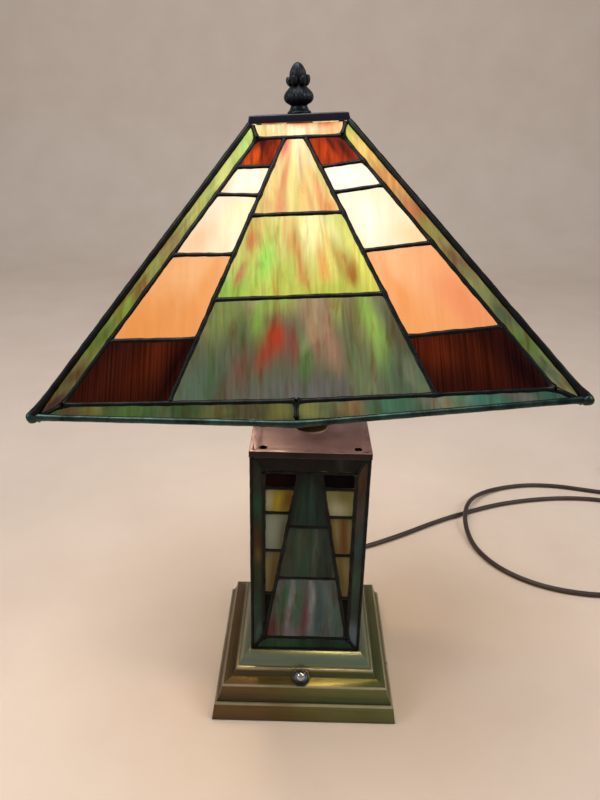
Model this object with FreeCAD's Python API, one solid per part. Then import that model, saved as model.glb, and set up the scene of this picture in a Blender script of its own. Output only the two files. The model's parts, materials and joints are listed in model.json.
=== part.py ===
"""Stained glass table lamp: every piece as its own STEP file, in millimetres.

Origin: centre of the plinth's underside. +Z is up and the front faces -Y.
The neck, shade, cap and finial stand on the tower's top plate and lean a few degrees, so they are
built upright in a frame at the plate's centre and then turned by lean().
"""
import FreeCAD, Part
import math
import os

from FreeCAD import Vector as V

os.makedirs("parts", exist_ok=True)

# ---- driving dimensions (mm, degrees) ----
FELT = 1.0                      # felt under the plinth
SLAB_HALF, SLAB_TOP_HALF = 77.0, 74.8  # plinth: bottom slab, which narrows upwards
SLAB_TOP = 16.6
STEP_FOOT_HALF = 73.2           # second step, at its foot and at its edge
STEP_HALF, STEP_Z = 68.7, 31.0
CREASE_HALF, CREASE_Z = 61.3, 32.9
UPPER_HALF, UPPER_Z = 56.5, 39.4
TOP_HALF, TOP_Z = 47.4, 49.6    # rounded top of the plinth
SLAB_INSIDE, STEP_INSIDE = 73.5, 65.6   # room inside the slab and inside the second step
CEILING = 46.8                  # underside of the plinth's top
BOTTOM_PLATE = 1.5

SWITCH_X = -3.2                 # push switch on the front slope
SWITCH_NUT_R, SWITCH_NUT_H = 6.6, 2.0
SWITCH_BUTTON_R, SWITCH_TRAVEL = 4.4, 3.0
BUSHING_R, BUSHING_BORE, BUSHING_TOP = 5.0, 3.3, 3.4
BUTTON_STEM, BUTTON_NECK, BUTTON_SHOULDER = 3.24, 6.5, 7.4   # stem radius, foot of head, its dome
SWITCH_BODY, SWITCH_FACE = (16.0, 14.0, 14.0), -6.0   # box inside, and its face behind the seat

TOWER_HALF = 45.6               # outside of the leaded panels
TOWER_TOP = 238.4               # upper face of the top plate
PLATE_HALF, PLATE_T, PLATE_LIP, PLATE_WALL = 46.5, 1.8, 5.0, 0.8
PLATE_VENT_R, PLATE_VENT = 3.2, (36.0, 39.0)   # vent holes near the plate's corners
TOWER_BEAD_R, TOWER_BEAD = 2.2, 44.2    # solder bead down each corner
PANEL_T, GLASS_T = 4.0, 3.0     # solder seam and glass, through the panel
SEAM = 2.6                      # width of a solder seam
TOWER_BORDER = 10.3
TOWER_FIELD_Z = (61.8, 220.5)   # inside the border
TOWER_CENTRE_HALF = (34.6, 8.4) # centre column, at the bottom and the top of the field
TOWER_CENTRE_CUTS = (123.0, 172.0)
TOWER_LEFT_CUTS = (107.5, 149.5, 184.5, 206.5)
TOWER_RIGHT_CUTS = (104.0, 146.0, 181.5, 206.5)

LEAN, SHADE_TURN = -3.4, 0.2   # about Y, and about the shade's own axis
RIM_Z = 81.0                    # lower corners of the shade above the top plate
SHADE_HALF, SHADE_TOP_HALF, SHADE_H = 156.6, 32.2, 148.5
RIM_BOW = 4.5                   # the lower edge hangs this much lower in its middle
RIM_R, HIP_R, BALL_R = 2.0, 2.0, 3.8
CORNER_INSET = 2.0              # solder balls, in from the corners where the faces would meet
BORDER = 10.4
FIELD = (10.0, 182.6)           # inside the border, up the panel
CENTRE_SHIFT = -3.0
CENTRE_HALF = (74.3, 6.4)
CENTRE_CUTS = (71.7, 127.2)
LEFT_CUTS = ((47.2, 47.7), (101.2, 102.2), (141.2, 143.2), (161.7, 162.2))   # inner, outer end
RIGHT_CUTS = ((44.2, 48.2), (100.2, 104.2), (141.2, 145.2), (159.7, 163.2))
BOTTOM_JOINT = -6.0             # joint in the bottom border

ROD_R, ROD_BORE, HUB_HOLE = 4.85, 3.0, 5.3
ROD_TOP = 240.0                 # above the top plate, along the leaning part
NUT_FLAT, NUT_H = 8.0, 4.0      # half the width across flats
WASHER_R, WASHER_T = 12.0, 1.2
NECK_R, NECK_WALL, NECK_TOP = 13.3, 1.2, 102.0
CLUSTER_R, CLUSTER_H = 16.0, 24.0
SOCKET_R, SOCKET_LEN, SOCKET_BORE = 17.0, 44.0, 13.3
SOCKET_TILT, SOCKET_TURNS = 5.0, (-45.0, 135.0)
BULB_BASE_R, BULB_R, BULB_LEN = 13.2, 24.0, 66.0
SPIDER_Z, SPIDER_T = 222.5, 3.0
CAP_HALF, CAP_TOP_HALF, CAP_H, CAP_T = 33.0, 31.9, 4.9, 0.9
GAP = 0.1                       # between pieces that lift apart
TIP = 0.6                       # small flat where a rounded end meets its own axis

CORD_R = 2.75
CORD_LENGTH = 1800.0
RELIEF_R, RELIEF_TIP_R, RELIEF_LEN, RELIEF_Z = 5.5, 3.4, 31.0, 9.0
RELIEF_FACE = SLAB_HALF - 1.5   # where the strain relief's flange sits, in the back of the slab
COIL_CENTRE, COIL_RADIUS = (505.0, 342.0), 31.0
PLUG_LEN, PLUG_W, PLUG_H = 34.0, 24.0, 17.0

Z = V(0, 0, 1)
O = V(0, 0, 0)
count = 0


def save(shape, name):
    """Write one node, made of one or more separate solids."""
    global count
    count += 1
    solids = shape.Solids
    if not solids or not all(s.isValid() for s in solids):
        raise RuntimeError(name + ": not a valid solid")
    out = solids[0] if len(solids) == 1 else Part.makeCompound(solids)
    out.exportStep("parts/%s.step" % name)
    print("%-28s %3d solids %10.0f mm3" % (name, len(solids), sum(s.Volume for s in solids)))


def lean(shape):
    """Turn a piece of the upper assembly with the shade and set it on the top plate."""
    s = shape.copy()
    s.rotate(O, Z, SHADE_TURN)
    s.rotate(O, V(0, 1, 0), LEAN)
    s.translate(V(0, 0, TOWER_TOP))
    return s


def cyl(r, z0, z1, x=0.0, y=0.0):
    return Part.makeCylinder(r, z1 - z0, V(x, y, z0))


def ring(r_out, r_in, z0, z1):
    return cyl(r_out, z0, z1).cut(cyl(r_in, z0 - 1, z1 + 1))


def block(x0, x1, y0, y1, z0, z1):
    return Part.makeBox(x1 - x0, y1 - y0, z1 - z0, V(x0, y0, z0))


def square(half, z0, z1):
    return block(-half, half, -half, half, z0, z1)


def bar(p, q, r):
    d = q - p
    return Part.makeCylinder(r, d.Length, p, d)


def face_of(points):
    return Part.Face(Part.makePolygon(list(points) + [points[0]]))


def revolve(outline, steps):
    """Turn a closed outline of (radius, height) lines and arcs about Z. steps: see edges_of()."""
    wire = Part.Wire(edges_of(outline, steps, lambda r, z: V(r, 0, z)))
    return Part.Face(wire).revolve(O, Z, 360)


def edges_of(start, steps, to3d):
    """Edges from a start point through steps: ("line", point) or ("arc", middle, end)."""
    edges, here = [], start
    for step in steps:
        end = step[-1]
        if step[0] == "line":
            edges.append(Part.LineSegment(to3d(*here), to3d(*end)).toShape())
        else:
            edges.append(Part.Arc(to3d(*here), to3d(*step[1]), to3d(*end)).toShape())
        here = end
    return edges


def dome(r, z, start=0.0):
    """Step of an outline along a ball of radius r centred on the axis at z, up to its small flat."""
    half = math.radians((start + 90) / 2)
    return ("arc", (r * math.cos(half), z + r * math.sin(half)), (TIP, z + math.sqrt(r * r - TIP * TIP)))


# ---- leaded panels ----
def clip(poly, px, py, nx, ny):
    """The part of a convex polygon on the side of the line through (px, py) that (nx, ny) points to."""
    out = []
    for i, a in enumerate(poly):
        b = poly[(i + 1) % len(poly)]
        da = (a[0] - px) * nx + (a[1] - py) * ny
        db = (b[0] - px) * nx + (b[1] - py) * ny
        if da >= 0:
            out.append(a)
        if (da >= 0) != (db >= 0):
            t = da / (da - db)
            out.append((a[0] + t * (b[0] - a[0]), a[1] + t * (b[1] - a[1])))
    return out


def inset(poly, d):
    """A convex polygon, counter-clockwise, with every side moved inwards by d."""
    out = list(poly)
    for i, a in enumerate(poly):
        b = poly[(i + 1) % len(poly)]
        dx, dy = b[0] - a[0], b[1] - a[1]
        n = math.hypot(dx, dy)
        out = clip(out, a[0] - dy / n * d, a[1] + dx / n * d, -dy / n, dx / n)
    return out


def at(line, h):
    """The u of a line ((u0, h0), (u1, h1)) at height h."""
    (u0, h0), (u1, h1) = line
    return u0 + (u1 - u0) * (h - h0) / (h1 - h0)


def slab(poly, thickness, depth):
    """A polygon in the panel's plane, pushed inwards from depth below its outer face."""
    face = face_of([V(x, y, -depth - thickness) for x, y in poly])
    return face.extrude(V(0, 0, thickness))


def quad(line_a, line_b, a0, b0, a1, b1):
    """Tile between two slanted lines; (a0, b0) are the heights of its lower cut, (a1, b1) the upper."""
    pts = [(at(line_a, a0), a0), (at(line_b, b0), b0), (at(line_b, b1), b1), (at(line_a, a1), a1)]
    return pts


def tiles_between(left, right, bottom, top, cuts):
    """Tiles stacked between two lines; bottom, top and each cut are (height at left, at right)."""
    rows = [bottom] + list(cuts) + [top]
    return [quad(left, right, lo[0], lo[1], hi[0], hi[1]) for lo, hi in zip(rows, rows[1:])]


def panel(outline, groups):
    """Solder lattice and glass of one panel: {"came": shape, group: shape of its tiles}."""
    windows, out = [], {}
    for name, tiles in groups.items():
        small = [inset(t, SEAM / 2) for t in tiles]
        windows += [slab(t, PANEL_T + 2, -1) for t in small]
        out[name] = [slab(t, GLASS_T, (PANEL_T - GLASS_T) / 2) for t in small]
    out["came"] = [slab(outline, PANEL_T, 0).cut(Part.makeCompound(windows))]
    return {k: Part.makeCompound(v) for k, v in out.items()}


def tower_panel():
    z0, z1 = TOP_Z + 0.2, TOWER_TOP - PLATE_T - 0.2
    edge = TOWER_HALF - 1.8
    field = edge + 1.8 - TOWER_BORDER
    low, high = TOWER_FIELD_Z
    outline = [(-edge, z0), (edge, z0), (edge, z1), (-edge, z1)]
    corner = ((-edge, z0), (edge, z0), (edge, z1), (-edge, z1))
    inner = ((-field, low), (field, low), (field, high), (-field, high))
    border = [[corner[i], corner[(i + 1) % 4], inner[(i + 1) % 4], inner[i]] for i in range(4)]
    c0, c1 = TOWER_CENTRE_HALF
    left, right = ((-c0, low), (-c1, high)), ((c0, low), (c1, high))
    wall_l, wall_r = ((-field, low), (-field, high)), ((field, low), (field, high))
    pair = lambda z: (z, z)
    centre = tiles_between(left, right, pair(low), pair(high), [pair(z) for z in TOWER_CENTRE_CUTS])
    wings = tiles_between(wall_l, left, pair(low), pair(high), [pair(z) for z in TOWER_LEFT_CUTS])
    wings += tiles_between(right, wall_r, pair(low), pair(high), [pair(z) for z in TOWER_RIGHT_CUTS])
    made = panel(outline, {"glass": border + centre + wings})
    mitre = face_of([V(0, 0, 0), V(-60, -60, 0), V(60, -60, 0)]).extrude(V(0, 0, 300))
    for name, shape in made.items():
        shape.rotate(O, V(1, 0, 0), 90)
        shape.translate(V(0, -TOWER_HALF, 0))
        made[name] = shape.common(mitre)
    return made


SLANT = math.hypot(SHADE_H, SHADE_HALF - SHADE_TOP_HALF)
SLOPE = math.degrees(math.atan2(SHADE_H, SHADE_HALF - SHADE_TOP_HALF))


def shade_half(h):
    """Half the width of a shade face at h up its slope."""
    return SHADE_HALF + (SHADE_TOP_HALF - SHADE_HALF) * h / SLANT


def on_shade(u, h, depth=0.0):
    """A point of the front shade face, in the upper assembly's frame."""
    s, c = math.sin(math.radians(SLOPE)), math.cos(math.radians(SLOPE))
    return V(u, -SHADE_HALF + h * c + depth * s, RIM_Z + h * s - depth * c)


def shade_panel():
    foot = RIM_R                               # the rim bead takes the last stretch
    across = math.hypot(1, (SHADE_HALF - SHADE_TOP_HALF) / SLANT)
    top = SLANT - 0.4
    edge = lambda side, h, d: side * (shade_half(h) - d * across)
    line = lambda side, d: ((edge(side, 0, d), 0), (edge(side, SLANT, d), SLANT))
    out_l, out_r = line(-1, HIP_R), line(1, HIP_R)
    in_l, in_r = line(-1, BORDER), line(1, BORDER)
    low, high = FIELD
    mid, j = foot - RIM_BOW, BOTTOM_JOINT
    mid_in = low - RIM_BOW / 2
    outline = [(at(out_l, foot), foot), (j, mid), (at(out_r, foot), foot), (at(out_r, top), top),
               (at(out_l, top), top)]
    border = [
        [(at(out_l, foot), foot), (j, mid), (j, mid_in), (at(in_l, low), low)],
        [(j, mid), (at(out_r, foot), foot), (at(in_r, low), low), (j, mid_in)],
        [(at(out_r, foot), foot), (at(out_r, top), top), (at(in_r, high), high), (at(in_r, low), low)],
        [(at(in_l, high), high), (at(in_r, high), high), (at(out_r, top), top), (at(out_l, top), top)],
        [(at(out_l, foot), foot), (at(in_l, low), low), (at(in_l, high), high), (at(out_l, top), top)],
    ]
    c0, c1 = CENTRE_HALF
    left = ((CENTRE_SHIFT - c0, low), (CENTRE_SHIFT - c1, high))
    right = ((CENTRE_SHIFT + c0, low), (CENTRE_SHIFT + c1, high))
    sag = lambda u: low - RIM_BOW / 2 * (1 - abs(u - j) / at(in_r, low))
    low_l, low_r = sag(left[0][0]), sag(right[0][0])
    centre = tiles_between(left, right, (low_l, low_r), (high, high), [(z, z) for z in CENTRE_CUTS])
    centre[0].insert(1, (j, mid_in))
    wings = tiles_between(in_l, left, (low, low_l), (high, high), [(o, i) for i, o in LEFT_CUTS])
    wings += tiles_between(right, in_r, (low_r, low), (high, high), RIGHT_CUTS)
    made = panel(outline, {"border": border, "centre": centre, "wings": wings})
    for shape in made.values():
        shape.rotate(O, V(1, 0, 0), SLOPE)
        shape.translate(on_shade(0, 0))
    return made


SIDES = (("front", 0), ("right", 90), ("back", 180), ("left", 270))


def turned(shape, angle):
    s = shape.copy()
    s.rotate(O, Z, angle)
    return s


# ---- plinth ----
def moulding(start, steps):
    """Square moulding: a half profile of (half width, height) taken round the four sides."""
    half = edges_of(start, steps, lambda h, z: V(0, h, z))
    other = [e.mirror(O, V(0, 1, 0)) for e in half]
    face = Part.Face(Part.Wire(Part.__sortEdges__(half + other)))
    one = face.extrude(V(2 * SLAB_HALF + 20, 0, 0))
    one.translate(V(-SLAB_HALF - 10, 0, 0))
    return one.common(turned(one, 90))


def slope_frame():
    """Centre and outward direction of the switch, on the slope between the two upper edges."""
    rise, run = UPPER_Z - STEP_Z, STEP_HALF - UPPER_HALF
    centre = V(SWITCH_X, -(STEP_HALF + UPPER_HALF) / 2 - 0.3, (STEP_Z + UPPER_Z) / 2 - 0.2)
    return centre, V(0, -rise, run).normalize()


def on_slope(shape):
    centre, out = slope_frame()
    s = shape.copy()
    s.rotate(O, V(1, 0, 0), math.degrees(math.atan2(-out.y, out.z)))
    s.translate(centre)
    return s


def switch_box(room=0.0):
    """The switch's body behind its seat, with room to spare on every side."""
    w, h, d = SWITCH_BODY
    return block(-w / 2 - room, w / 2 + room, -h / 2 - room, h / 2 + room,
                 SWITCH_FACE - d - room, SWITCH_FACE + room / 2)


def plinth():
    outer = moulding((0, FELT), [
        ("line", (SLAB_HALF, FELT)), ("line", (SLAB_TOP_HALF, SLAB_TOP - 0.6)),
        ("line", (SLAB_TOP_HALF - 0.6, SLAB_TOP)), ("line", (STEP_FOOT_HALF, SLAB_TOP)),
        ("arc", (STEP_HALF + 1.7, 22.6), (STEP_HALF, STEP_Z - 0.8)),
        ("line", (STEP_HALF - 0.8, STEP_Z)), ("line", (CREASE_HALF, CREASE_Z)),
        ("arc", (59.0, 34.8), (UPPER_HALF + 1.2, UPPER_Z - 1.8)),
        ("line", (UPPER_HALF + 1.2, UPPER_Z - 0.4)), ("line", (UPPER_HALF + 0.6, UPPER_Z)),
        ("line", (UPPER_HALF - 1.0, UPPER_Z + 0.2)),
        ("arc", (52.6, 45.4), (TOP_HALF, TOP_Z)), ("line", (0, TOP_Z))])
    ledge, shelf = CREASE_HALF - 3.9, STEP_Z - 2.4
    inner = moulding((0, 0), [
        ("line", (SLAB_INSIDE, 0)), ("line", (SLAB_INSIDE, SLAB_TOP - 2.6)),
        ("line", (STEP_INSIDE, SLAB_TOP - 2.6)), ("line", (STEP_INSIDE, STEP_Z - 5.4)),
        ("line", (ledge, shelf)), ("line", (53.0, 36)), ("line", (44, CEILING)),
        ("line", (0, CEILING))])
    boss = on_slope(cyl(SWITCH_NUT_R + 1, -4.5, 0)).cut(square(ledge, 0, shelf))
    body = outer.cut(inner).fuse(boss)
    nut_seat = cyl(SWITCH_NUT_R + 0.3, 0, 6)
    body = body.cut(on_slope(cyl(BUSHING_R, -12, 5))).cut(on_slope(nut_seat))
    body = body.cut(on_slope(switch_box(0.2))).cut(cyl(ROD_R, CEILING - 5, TOP_Z + 5))
    relief = Part.makeCylinder(RELIEF_R - 1.5, 12, V(0, RELIEF_FACE - 8, RELIEF_Z), V(0, 1, 0))
    spot_face = Part.makeCylinder(RELIEF_R + 0.3, 8, V(0, RELIEF_FACE, RELIEF_Z), V(0, 1, 0))
    return body.cut(relief).cut(spot_face).removeSplitter()


save(square(SLAB_HALF - 2.5, 0, FELT).cut(cyl(6, -1, 3)), "felt_pad")
save(plinth(), "plinth_casting")
save(square(SLAB_INSIDE, FELT, FELT + BOTTOM_PLATE).cut(cyl(ROD_R, 0, 5)), "plinth_bottom_plate")

# push switch, along its own axis: 0 is the seat under the ring nut
save(on_slope(ring(BUSHING_R, BUSHING_BORE, SWITCH_FACE, BUSHING_TOP)), "switch_bushing")
save(on_slope(ring(SWITCH_NUT_R, BUSHING_R, 0, SWITCH_NUT_H)), "switch_nut")
head = dome(SWITCH_BUTTON_R, BUTTON_SHOULDER)
collar, collar_top = 4.4, SWITCH_FACE - 0.2       # stop on the stem, under the bushing
button = revolve((0, -9), [("line", (collar, -9)), ("line", (collar, collar_top)),
                           ("line", (BUTTON_STEM, collar_top)), ("line", (BUTTON_STEM, BUTTON_NECK)),
                           ("line", (SWITCH_BUTTON_R, BUTTON_NECK)),
                           ("line", (SWITCH_BUTTON_R, BUTTON_SHOULDER)), head,
                           ("line", (0, head[2][1])), ("line", (0, -9))])
save(on_slope(button), "switch_button")
save(on_slope(switch_box().cut(cyl(collar + 0.3, -12.5, SWITCH_FACE + 1))), "switch_body")

# ---- tower ----
tower = tower_panel()
tower_cames = []
for side, angle in SIDES:
    came = turned(tower["came"], angle)
    tower_cames.append(came)
    save(came, "tower_came_" + side)
    save(turned(tower["glass"], angle), "tower_glass_" + side)
beads = [cyl(TOWER_BEAD_R, TOP_Z + 0.2, TOWER_TOP - PLATE_LIP - 0.2, sx * TOWER_BEAD, sy * TOWER_BEAD)
         for sx in (-1, 1) for sy in (-1, 1)]
inside = square(TOWER_HALF - PANEL_T + 0.5, 0, 300)
beads = [b.cut(Part.makeCompound(tower_cames)).cut(inside) for b in beads]
beads = [max(b.Solids, key=lambda s: s.Volume) for b in beads]
save(Part.makeCompound(beads), "tower_corner_beads")

plate = square(PLATE_HALF, TOWER_TOP - PLATE_LIP, TOWER_TOP)
plate = plate.cut(square(PLATE_HALF - PLATE_WALL, 0, TOWER_TOP - PLATE_T))
plate = plate.cut(cyl(ROD_R + 0.1, 200, 260))
for sx in (-1, 1):
    for sy in (-1, 1):
        plate = plate.cut(cyl(PLATE_VENT_R, 200, 260, sx * PLATE_VENT[0], sy * PLATE_VENT[1]))
save(plate, "tower_top_plate")


# ---- main rod: upright through the plinth and tower, then leaning with the shade ----
def bent(r, low, high):
    knee = V(0, 0, TOWER_TOP)
    upper = lean(Part.makeCylinder(r, high))
    return cyl(r, low, TOWER_TOP).fuse(upper).fuse(Part.makeSphere(r, knee))


rod = bent(ROD_R, FELT, ROD_TOP).cut(bent(ROD_BORE, -5, ROD_TOP + 20))
save(rod, "main_rod")


def hex_nut(flat, z0, z1, r=ROD_R):
    corner = flat / math.cos(math.radians(30))
    pts = [V(corner * math.cos(math.radians(a)), corner * math.sin(math.radians(a)), z0)
           for a in range(0, 360, 60)]
    return face_of(pts).extrude(V(0, 0, z1 - z0)).cut(cyl(r, z0 - 1, z1 + 1))


def washer_and_nut(z, way=1):
    """A washer on a face at z and its nut, above the face (way 1) or below it (way -1)."""
    near, far = z + way * WASHER_T, z + way * (WASHER_T + NUT_H)
    washer = ring(WASHER_R, ROD_R, min(z, near), max(z, near))
    return [washer, hex_nut(NUT_FLAT, min(near, far), max(near, far))]


nuts = washer_and_nut(FELT + BOTTOM_PLATE) + washer_and_nut(CEILING, -1)
nuts += [hex_nut(NUT_FLAT, TOWER_TOP - PLATE_T - NUT_H, TOWER_TOP - PLATE_T)]
save(Part.makeCompound(nuts), "rod_lock_nuts")

# ---- neck and lamp holders (upper assembly frame) ----
floor_cut = block(-60, 60, -60, 60, TOWER_TOP - 30, TOWER_TOP)
foot = lean(ring(NECK_R + 0.5, ROD_R + 0.2, -3, 4)).cut(floor_cut)
foot = foot.cut(Part.makeSphere(ROD_R + 0.2, V(0, 0, TOWER_TOP)))
save(foot, "neck_foot_ring")
save(lean(ring(NECK_R, NECK_R - NECK_WALL, 4, NECK_TOP)), "neck_tube")


def holder_frame(shape, turn):
    """A lamp holder built along +X from the cluster, tilted up and turned about the rod."""
    s = shape.copy()
    s.rotate(O, V(0, 1, 0), 90 - SOCKET_TILT)
    s.translate(V(0, 0, NECK_TOP + CLUSTER_H / 2))
    s.rotate(O, Z, turn)
    return s


START = 15.0                               # face of the lamp holder, from the rod's axis
arms = [holder_frame(cyl(8, 0, START), t) for t in SOCKET_TURNS]
cluster = cyl(CLUSTER_R, NECK_TOP, NECK_TOP + CLUSTER_H - 4)
cluster = cluster.fuse(Part.makeCone(CLUSTER_R, 8, 4, V(0, 0, NECK_TOP + CLUSTER_H - 4)))
for arm in arms:
    cluster = cluster.fuse(arm)
flats = [holder_frame(cyl(40, START, START + 40), t) for t in SOCKET_TURNS]
cluster = cluster.cut(Part.makeCompound(flats)).cut(cyl(ROD_R, NECK_TOP - 5, 140))
save(lean(cluster), "socket_cluster")

holder = revolve((0, START), [("line", (12, START)), ("arc", (15.6, START + 2.4), (SOCKET_R, START + 6)),
                              ("line", (SOCKET_R, START + SOCKET_LEN)),
                              ("line", (SOCKET_BORE, START + SOCKET_LEN)),
                              ("line", (SOCKET_BORE, START + 18)), ("line", (0, START + 18)),
                              ("line", (0, START))])
lip = START + SOCKET_LEN
mid = lip + BULB_LEN - BULB_R              # centre of the bulb's round end
WAIST = math.radians(-26)                  # where the neck's curve meets the round end
waist = (BULB_R * math.cos(WAIST), mid + BULB_R * math.sin(WAIST))
top = dome(BULB_R, mid)
bulb = revolve((0, lip - 24), [("line", (BULB_BASE_R - 6, lip - 24)), ("line", (BULB_BASE_R, lip - 20)),
                               ("line", (BULB_BASE_R, lip + 3)),
                               ("arc", (15.6, lip + 16), waist), top,
                               ("line", (0, top[2][1])), ("line", (0, lip - 24))])
for side, t in zip(("front", "rear"), SOCKET_TURNS):
    save(lean(holder_frame(holder, t)), "socket_" + side)
    save(lean(holder_frame(bulb, t)), "bulb_" + side)

# ---- night light in the tower, on a bracket from the rod ----
NIGHT_Z, NIGHT_X = 104.0, 20.0
night = cyl(9, NIGHT_Z, NIGHT_Z + 26, NIGHT_X).cut(cyl(6.3, NIGHT_Z + 8, NIGHT_Z + 40, NIGHT_X))
clampr = ring(8, ROD_R, NIGHT_Z, NIGHT_Z + 8)
arm = block(6, NIGHT_X, -4, 4, NIGHT_Z, NIGHT_Z + 4)
save(night.fuse(clampr).fuse(arm).removeSplitter(), "night_light_socket")
n0 = NIGHT_Z + 26
tip = dome(7, n0 + 32)
night_bulb = revolve((0, n0 - 16), [("line", (6.2, n0 - 16)), ("line", (6.2, n0 + 2)),
                                    ("arc", (10.5, n0 + 16), (7, n0 + 32)), tip,
                                    ("line", (0, tip[2][1])), ("line", (0, n0 - 16))])
night_bulb.translate(V(NIGHT_X, 0, 0))
save(night_bulb, "night_light_bulb")

# ---- shade ----
def front_quarter():
    """The quarter of space that the front side has to itself, up to the hips."""
    reach, floor = 2 * SHADE_HALF, RIM_Z - 20
    wedge = face_of([V(0, 0, floor), V(-reach, -reach, floor), V(reach, -reach, floor)])
    return wedge.extrude(V(0, 0, SHADE_H + 40))


quarter = front_quarter()
shade = shade_panel()
shade["came"] = shade["came"].common(quarter)
for side, angle in SIDES:
    for group in ("came", "border", "centre", "wings"):
        piece = lean(turned(shade[group], angle))
        name = {"came": "shade_came_", "border": "shade_border_glass_",
                "centre": "shade_centre_glass_", "wings": "shade_wing_glass_"}[group]
        save(piece, name + side)

CORNER_HALF = SHADE_HALF - CORNER_INSET
low_corner = V(-CORNER_HALF, -CORNER_HALF, RIM_Z + CORNER_INSET * math.tan(math.radians(SLOPE)))
top_corner = V(-SHADE_TOP_HALF, -SHADE_TOP_HALF, RIM_Z + SHADE_H)
balls = [turned(Part.makeSphere(BALL_R, low_corner), a) for _, a in SIDES]
ball_cut = Part.makeCompound(balls)
cap_floor = block(-60, 60, -60, 60, RIM_Z + SHADE_H - 1.2, RIM_Z + SHADE_H + 20)
panels = Part.makeCompound([turned(shade["came"], a) for _, a in SIDES])
hips = [turned(bar(low_corner, top_corner, HIP_R), a).cut(ball_cut).cut(cap_floor) for _, a in SIDES]
save(lean(Part.makeCompound(hips)), "shade_hip_beads")


def rim_side():
    """Rim bead of the front side: two straight bars that meet at the low middle."""
    across = PANEL_T / 2
    a = on_shade(-CORNER_HALF, 0, across)
    m = on_shade(BOTTOM_JOINT, -RIM_BOW - 0.1, across)
    b = on_shade(CORNER_HALF, 0, across)
    bead = bar(a, m, RIM_R).fuse(bar(m, b, RIM_R)).fuse(Part.makeSphere(RIM_R, m))
    return bead.common(quarter)


rim = [turned(rim_side(), a).cut(ball_cut).cut(panels) for _, a in SIDES]
rim = [max(r.Solids, key=lambda s: s.Volume) for r in rim]
save(lean(Part.makeCompound(rim)), "shade_rim")
ball = balls[0]
for _, angle in SIDES:
    ball = ball.cut(turned(shade["came"], angle))
ball = max(ball.Solids, key=lambda s: s.Volume)
save(lean(Part.makeCompound([turned(ball, a) for _, a in SIDES])), "shade_corner_solder")

# spider: square frame soldered inside the top, with cross bars and a hub on the rod
inner = lambda z: SHADE_HALF - (z - RIM_Z) * (SHADE_HALF - SHADE_TOP_HALF) / SHADE_H
edge = inner(SPIDER_Z + SPIDER_T) - PANEL_T / math.sin(math.radians(SLOPE))
frame = square(edge, SPIDER_Z, SPIDER_Z + SPIDER_T).cut(square(edge - 4, SPIDER_Z - 1, SPIDER_Z + 9))
HUB_TOP = RIM_Z + SHADE_H - 0.3 + CAP_H - CAP_T - GAP
cross = block(-edge, edge, -3, 3, SPIDER_Z, SPIDER_Z + SPIDER_T)
hub = cyl(9, SPIDER_Z, HUB_TOP)
spider = frame.fuse(cross).fuse(turned(cross, 90)).fuse(hub).cut(cyl(HUB_HOLE, 0, 300))
save(lean(spider.removeSplitter()), "shade_spider")
save(lean(Part.makeCompound(washer_and_nut(SPIDER_Z - GAP, -1))), "shade_seat_nut")

# vent cap: a shallow square pan, upside down
CAP_Z = RIM_Z + SHADE_H - 0.3


def pan(half0, half1, z0, z1):
    a, b = [Part.makePolygon([V(-h, -h, z), V(h, -h, z), V(h, h, z), V(-h, h, z), V(-h, -h, z)])
            for h, z in ((half0, z0), (half1, z1))]
    return Part.makeLoft([a, b], True, True)


cap = pan(CAP_HALF, CAP_TOP_HALF, CAP_Z, CAP_Z + CAP_H)
cap = cap.cut(pan(CAP_HALF - CAP_T, CAP_TOP_HALF - CAP_T, CAP_Z - 0.01, CAP_Z + CAP_H - CAP_T))
save(lean(cap.cut(cyl(HUB_HOLE, 0, 300))), "vent_cap")

# finial: flared foot, bulb, and a ridged bud
f = CAP_Z + CAP_H + GAP
finial = revolve((0, f), [
    ("line", (8.0, f)), ("arc", (6.3, f + 2.2), (5.4, f + 4.8)), ("line", (5.6, f + 5.6)),
    ("arc", (10.2, f + 9.6), (7.4, f + 14.6)), ("line", (5.8, f + 16.6)), ("line", (5.8, f + 17.6)),
    ("arc", (8.0, f + 22.0), (4.6, f + 27.8)), ("line", (2.0, f + 30.6)),
    ("arc", (1.083, f + 31.21), (TIP, f + 31.4)), ("line", (0, f + 31.4)), ("line", (0, f))])
finial = finial.cut(cyl(ROD_R + 0.06, f - 1, ROD_TOP + 0.6))
save(lean(finial), "finial")

# ---- cord ----
relief = Part.makeCone(RELIEF_R, RELIEF_TIP_R, RELIEF_LEN, V(0, RELIEF_FACE, RELIEF_Z), V(0, 1, 0))
relief = relief.fuse(Part.makeCylinder(RELIEF_R - 1.5, 8, V(0, RELIEF_FACE - 8, RELIEF_Z), V(0, 1, 0)))
save(relief, "cord_strain_relief")

FLOOR = CORD_R + 0.05
HUMP = 10.6                                # height of the cord's axis where it crosses itself
ROUTE = [
    (0, RELIEF_FACE + RELIEF_LEN, RELIEF_Z), (0, 122, RELIEF_Z), (10, 146, 4.5), (33, 161, FLOOR),
    (71, 174, FLOOR),
    (120, 203, FLOOR), (163, 232, FLOOR), (205, 255, FLOOR), (250, 277, FLOOR), (302, 292, FLOOR),
    (354, 299, FLOOR), (404, 294, FLOOR), (444, 268, FLOOR), (464, 228, FLOOR), (461, 182, FLOOR),
    (436, 140, FLOOR), (396, 110, FLOOR), (350, 96, FLOOR), (303, 96, FLOOR), (257, 108, FLOOR),
    (221, 135, FLOOR), (201, 172, FLOOR), (196, 205, 6.0), (199, 238, HUMP), (211, 270, HUMP),
    (232, 298, 6.0), (262, 319, FLOOR), (303, 331, FLOOR), (346, 330, FLOOR), (384, 320, FLOOR),
    (420, 311, FLOOR), (455, 309, FLOOR), (482, 311, FLOOR),
]


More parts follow.
